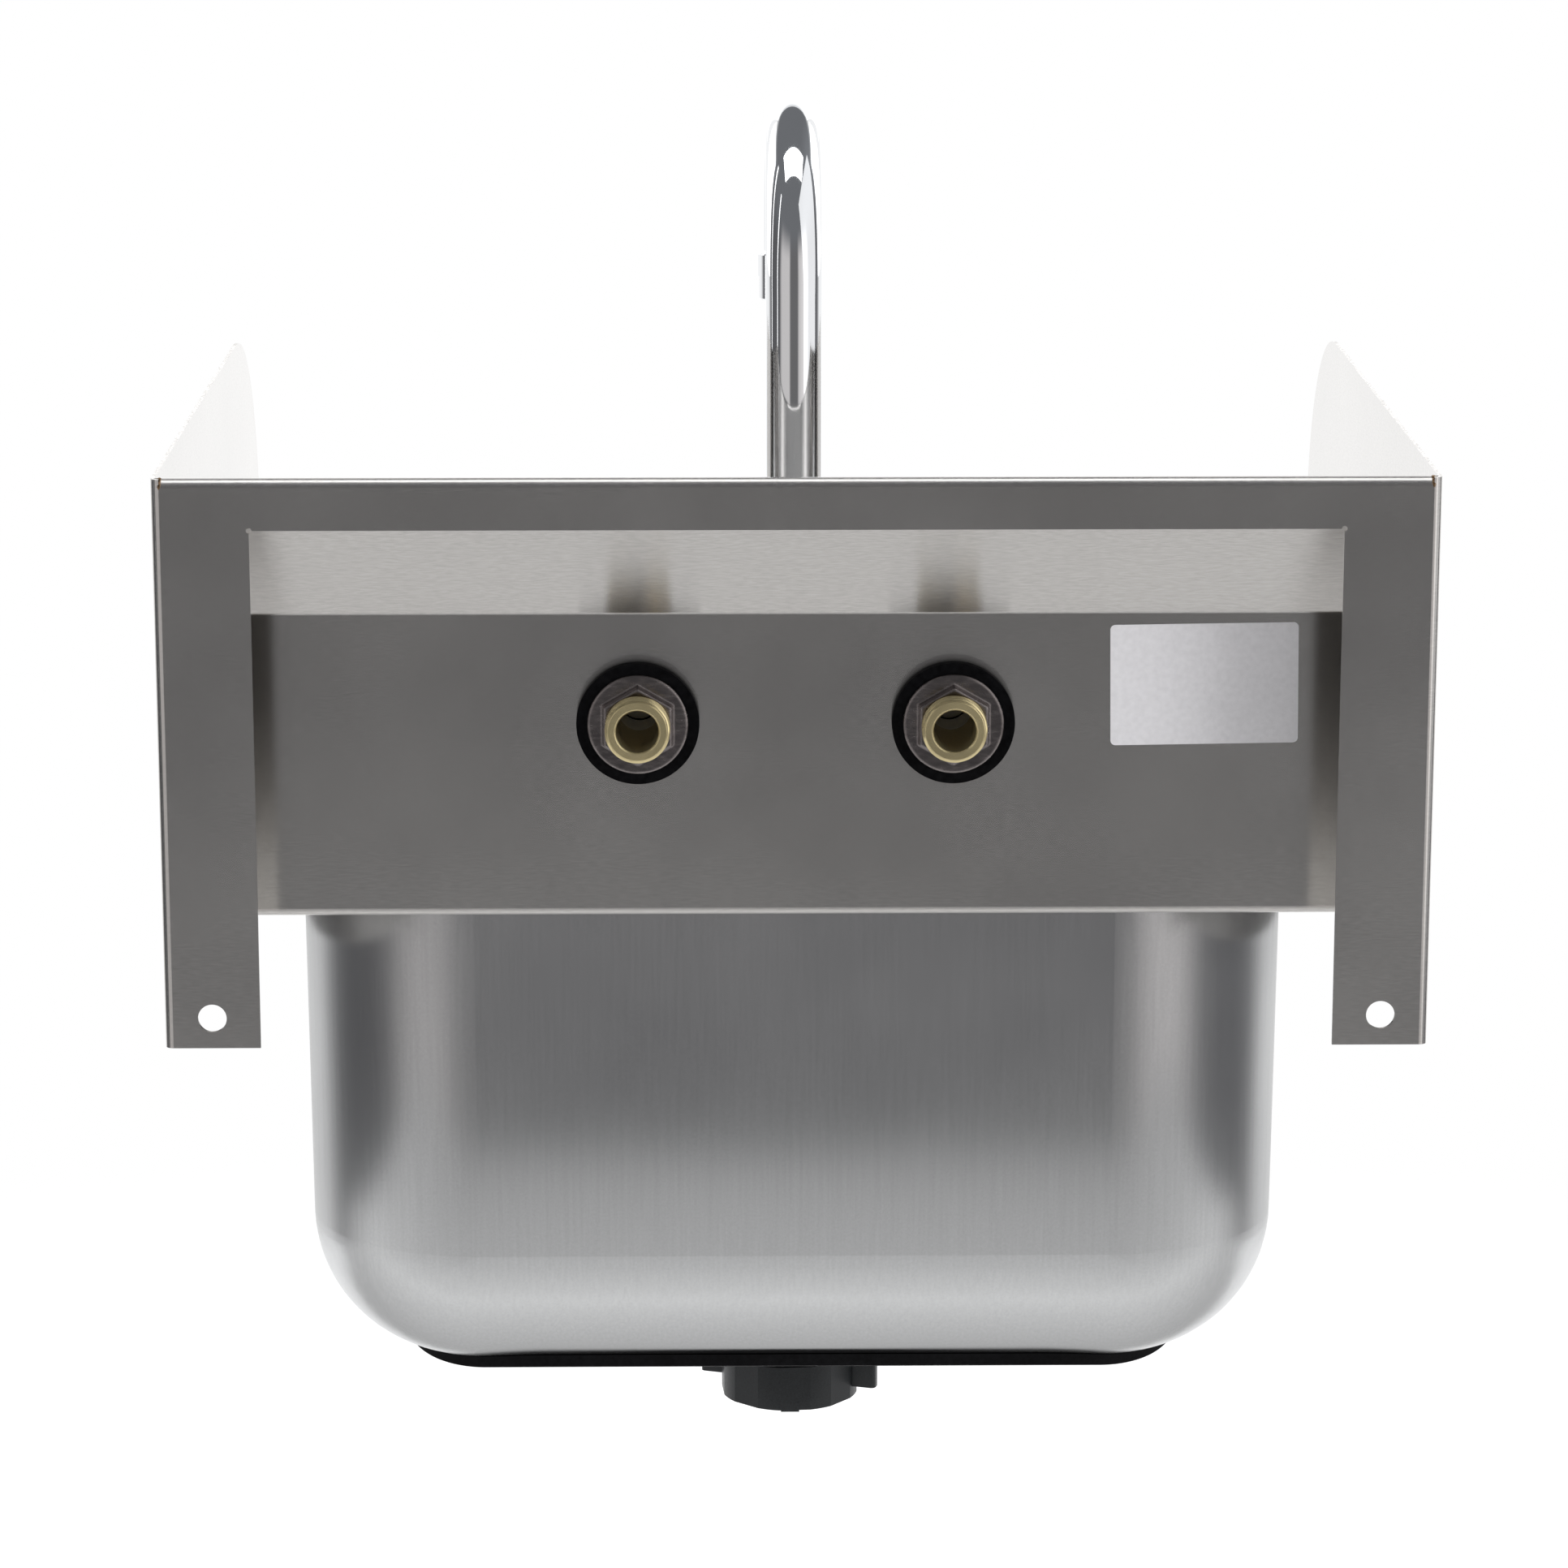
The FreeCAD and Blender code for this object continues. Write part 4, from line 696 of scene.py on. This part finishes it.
class SINK_OT_stage(bpy.types.Operator):
    """Floor, reflecting card, room, soft panels and the camera"""
    bl_idname = "sink.stage"
    bl_label = "Studio"

    floor_roughness = 0.9
    sensor_width = 36.0
    clip_end = 50.0

    def execute(self, context):
        studio = settings().studio
        scene = context.scene
        scene.view_settings.view_transform = "Standard"
        self.floor(scene, studio)
        self.card(scene, studio)
        self.room(scene, studio)
        for name, place, size, power, target in PANELS:
            self.panel(scene, name, place, size, getattr(studio, power), target)
        self.camera(scene, studio)
        return {"FINISHED"}

    def primitive(self, name, create, **sizes):
        mesh = bpy.data.meshes.new(name)
        shape = bmesh.new()
        create(shape, **sizes)
        shape.to_mesh(mesh)
        shape.free()
        return mesh

    def bare(self, name):
        """A material without a shader yet, and its nodes."""
        paint = bpy.data.materials.new(name)
        nodes = Nodes(paint)
        nodes.tree.nodes.remove(nodes.tree.nodes["Principled BSDF"])
        return paint, nodes

    def floor(self, scene, studio):
        """Round white floor, which gives way to the room towards its edge."""
        mesh = self.primitive("floor", bmesh.ops.create_circle, cap_ends=True, segments=128,
                              radius=studio.floor_reach)
        floor = bpy.data.objects.new("floor", mesh)
        floor.location = (0.0, -studio.floor_back, -studio.floor_drop)
        scene.collection.objects.link(floor)
        paint = bpy.data.materials.new("pale_floor")
        nodes = Nodes(paint)
        matt = nodes.tree.nodes["Principled BSDF"]
        matt.inputs["Base Color"].default_value = opaque(studio.floor_colour)
        matt.inputs["Roughness"].default_value = self.floor_roughness
        matt.inputs["Specular IOR Level"].default_value = 0.0
        matt.inputs["Emission Color"].default_value = WHITE
        nodes.feed(matt.inputs["Emission Strength"],
                   nodes.calc("MULTIPLY", nodes.seen(), studio.floor_glow))
        reach = nodes.node("ShaderNodeVectorMath", operation="LENGTH")
        nodes.feed(reach.inputs[0], nodes.coordinates())
        edge = nodes.ramp(reach.outputs["Value"], studio.floor_full, studio.floor_reach)
        clear = nodes.node("ShaderNodeBsdfTransparent")
        nodes.show(matt.outputs["BSDF"], clear.outputs["BSDF"], edge)
        mesh.materials.append(paint)

    def card(self, scene, studio):
        """Pale card under the sink's back, hidden from the camera, for the steel to reflect."""
        mesh = bpy.data.meshes.new("reflecting_card")
        side = studio.card_width / 2
        corners = ((-side, studio.card_start), (side, studio.card_start),
                   (side, studio.card_edge), (-side, studio.card_edge))
        mesh.from_pydata([(x, y, -studio.card_drop) for x, y in corners], [], [(0, 1, 2, 3)])
        card = bpy.data.objects.new("reflecting_card", mesh)
        card.visible_camera = False
        scene.collection.objects.link(card)
        paint, nodes = self.bare("card_light")
        depth = nodes.axes(nodes.coordinates())[1]
        away = nodes.calc("POWER", nodes.span(depth, 0.0, studio.card_edge), studio.card_fall)
        behind = nodes.mix(opaque(studio.card_near), opaque(studio.card_far), away)
        under = nodes.span(depth, studio.card_start, studio.card_full)
        glow = nodes.node("ShaderNodeEmission")
        nodes.feed(glow.inputs["Color"], nodes.mix(opaque(studio.card_front), behind, under))
        nodes.feed(nodes.surface, glow.outputs["Emission"])
        mesh.materials.append(paint)

    def room(self, scene, studio):
        """White all round, and inside it a shell open towards the backdrop, as a studio is."""
        world = bpy.data.worlds.new("white_surround")
        scene.world = world
        nodes = Nodes(world, "World Output")
        soft = nodes.tree.nodes["Background"]
        soft.inputs["Color"].default_value = opaque(studio.surround)
        white = nodes.node("ShaderNodeBackground")
        white.inputs["Color"].default_value = WHITE
        nodes.show(soft.outputs["Background"], white.outputs["Background"], nodes.seen())
        mesh = self.primitive("room_shell", bmesh.ops.create_icosphere, subdivisions=5,
                              radius=studio.room_reach)
        shell = bpy.data.objects.new("room_shell", mesh)
        shell.visible_camera = False
        scene.collection.objects.link(shell)
        mesh.materials.append(self.walls(studio))

    def walls(self, studio):
        """Dim sides and ceiling, pale walls with a dark gap between, and an open front."""
        paint, nodes = self.bare("room_walls")
        x, y, z = nodes.axes(nodes.coordinates())

        def within(source, shares):
            return nodes.ramp(source, *(share * studio.room_reach for share in shares))

        squares = (nodes.calc("MULTIPLY", axis, axis) for axis in (x, y))
        level = nodes.calc("SQRT", nodes.calc("ADD", *squares))
        backwards = nodes.calc("DIVIDE", y, nodes.calc("MAXIMUM", level, NEVER_NOUGHT))
        bands = nodes.node("ShaderNodeValToRGB")
        bands.color_ramp.interpolation = "EASE"
        tones = ((studio.wing, 0.0), (studio.wing, 1.0), (studio.wing, 1.0), (studio.wall, 1.0),
                 (studio.wall, 1.0), (studio.gap, 1.0))
        stops = bands.color_ramp.elements
        while len(stops) < len(tones):
            stops.new(0.5)
        bearings = (*OPENING, *WING_TO_WALL, *WALL_TO_GAP)
        for stop, bearing, (colour, cover) in zip(stops, bearings, tones):
            stop.position = 0.5 + 0.5 * math.cos(math.radians(bearing))
            stop.color = (*colour, cover)
        nodes.feed(bands.inputs["Fac"], nodes.calc("MULTIPLY_ADD", backwards, 0.5, 0.5))
        middle = nodes.ramp(backwards, *(math.cos(math.radians(turn)) for turn in WALL_TO_GAP))
        foot = within(nodes.calc("MULTIPLY", z, -1.0), GAP_FOOT_DEPTH)
        tone = nodes.mix(bands.outputs["Color"], opaque(studio.gap_foot),
                         nodes.calc("MULTIPLY", middle, foot))
        tone = nodes.mix(tone, opaque(studio.ceiling), within(z, CEILING_TONE))
        hot_side = within(nodes.calc("MULTIPLY", x, -1.0), HOT_SIDE_BREADTH)
        glow = nodes.node("ShaderNodeEmission")
        nodes.feed(glow.inputs["Color"], tone)
        nodes.feed(glow.inputs["Strength"],
                   nodes.calc("MULTIPLY_ADD", hot_side, studio.hot_side, 1.0))
        clear = nodes.node("ShaderNodeBsdfTransparent")
        cover = nodes.calc("MAXIMUM", bands.outputs["Alpha"], within(z, CEILING_COVER))
        nodes.show(clear.outputs["BSDF"], glow.outputs["Emission"], cover)
        return paint

    def panel(self, scene, name, place, size, power, target):
        lamp = bpy.data.lights.new(name, "AREA")
        lamp.shape = "RECTANGLE"
        lamp.size, lamp.size_y = size
        lamp.energy = power
        panel = bpy.data.objects.new(name, lamp)
        panel.location = place
        panel.rotation_mode = "QUATERNION"
        panel.rotation_quaternion = (Vector(target) - panel.location).to_track_quat("-Z", "Y")
        panel.visible_glossy = name not in UNREFLECTED
        scene.collection.objects.link(panel)

    def camera(self, scene, studio):
        lens = bpy.data.cameras.new("camera")
        lens.lens = studio.lens
        lens.sensor_width = self.sensor_width
        lens.clip_end = self.clip_end
        camera = bpy.data.objects.new("camera", lens)
        level = math.cos(studio.pitch)
        look = Vector((-level * math.sin(studio.yaw), -level * math.cos(studio.yaw),
                       -math.sin(studio.pitch)))
        camera.location = studio.camera_at
        camera.rotation_mode = "QUATERNION"
        camera.rotation_quaternion = look.to_track_quat("-Z", "Y")
        scene.collection.objects.link(camera)
        scene.camera = camera


class SinkDressing(bpy.types.PropertyGroup):
    steel: PointerProperty(type=SinkSteel, name="Steel", description="Steel finishes")
    tap: PointerProperty(type=SinkTap, name="Tap", description="Tap finishes and threads")
    blacks: PointerProperty(type=SinkBlacks, name="Blacks", description="Rubber and plastic")
    plate: PointerProperty(type=SinkPlate, name="Plate", description="Bare plate on the back")
    welds: PointerProperty(type=SinkWelds, name="Welds", description="Seams of the sheet")
    studio: PointerProperty(type=SinkStudio, name="Studio", description="Floor, light and camera")


OPERATORS = (SINK_OT_sheet, SINK_OT_bowl, SINK_OT_blacks, SINK_OT_tap, SINK_OT_brass,
             SINK_OT_plate, SINK_OT_welds, SINK_OT_stage)


class SINK_PT_dressing(bpy.types.Panel):
    """Buttons for the finishes and the studio"""
    bl_idname = "SINK_PT_dressing"
    bl_label = "Hand-wash sink"
    bl_space_type = "VIEW_3D"
    bl_region_type = "UI"
    bl_category = "Sink"

    def draw(self, context):
        for operator in OPERATORS:
            self.layout.operator(operator.bl_idname)
        dressing = context.scene.sink_dressing
        for group in (dressing.steel, dressing.tap, dressing.blacks, dressing.plate,
                      dressing.welds, dressing.studio):
            box = self.layout.box()
            for name in group.__annotations__:
                box.prop(group, name)


CLASSES = (SinkSteel, SinkTap, SinkBlacks, SinkPlate, SinkWelds, SinkStudio, SinkDressing,
           *OPERATORS, SINK_PT_dressing)


def register():
    for cls in CLASSES:
        bpy.utils.register_class(cls)
    bpy.types.Scene.sink_dressing = PointerProperty(type=SinkDressing, name="Sink dressing",
                                                    description="Finishes and studio of the sink")


def unregister():
    del bpy.types.Scene.sink_dressing
    for cls in reversed(CLASSES):
        bpy.utils.unregister_class(cls)


def main():
    register()
    bpy.ops.sink.sheet()
    bpy.ops.sink.bowl()
    bpy.ops.sink.blacks()
    bpy.ops.sink.tap()
    bpy.ops.sink.brass()
    bpy.ops.sink.plate()
    bpy.ops.sink.welds()
    bpy.ops.sink.stage()
    bpy.context.view_layer.update()


if __name__ == "__main__":
    main()
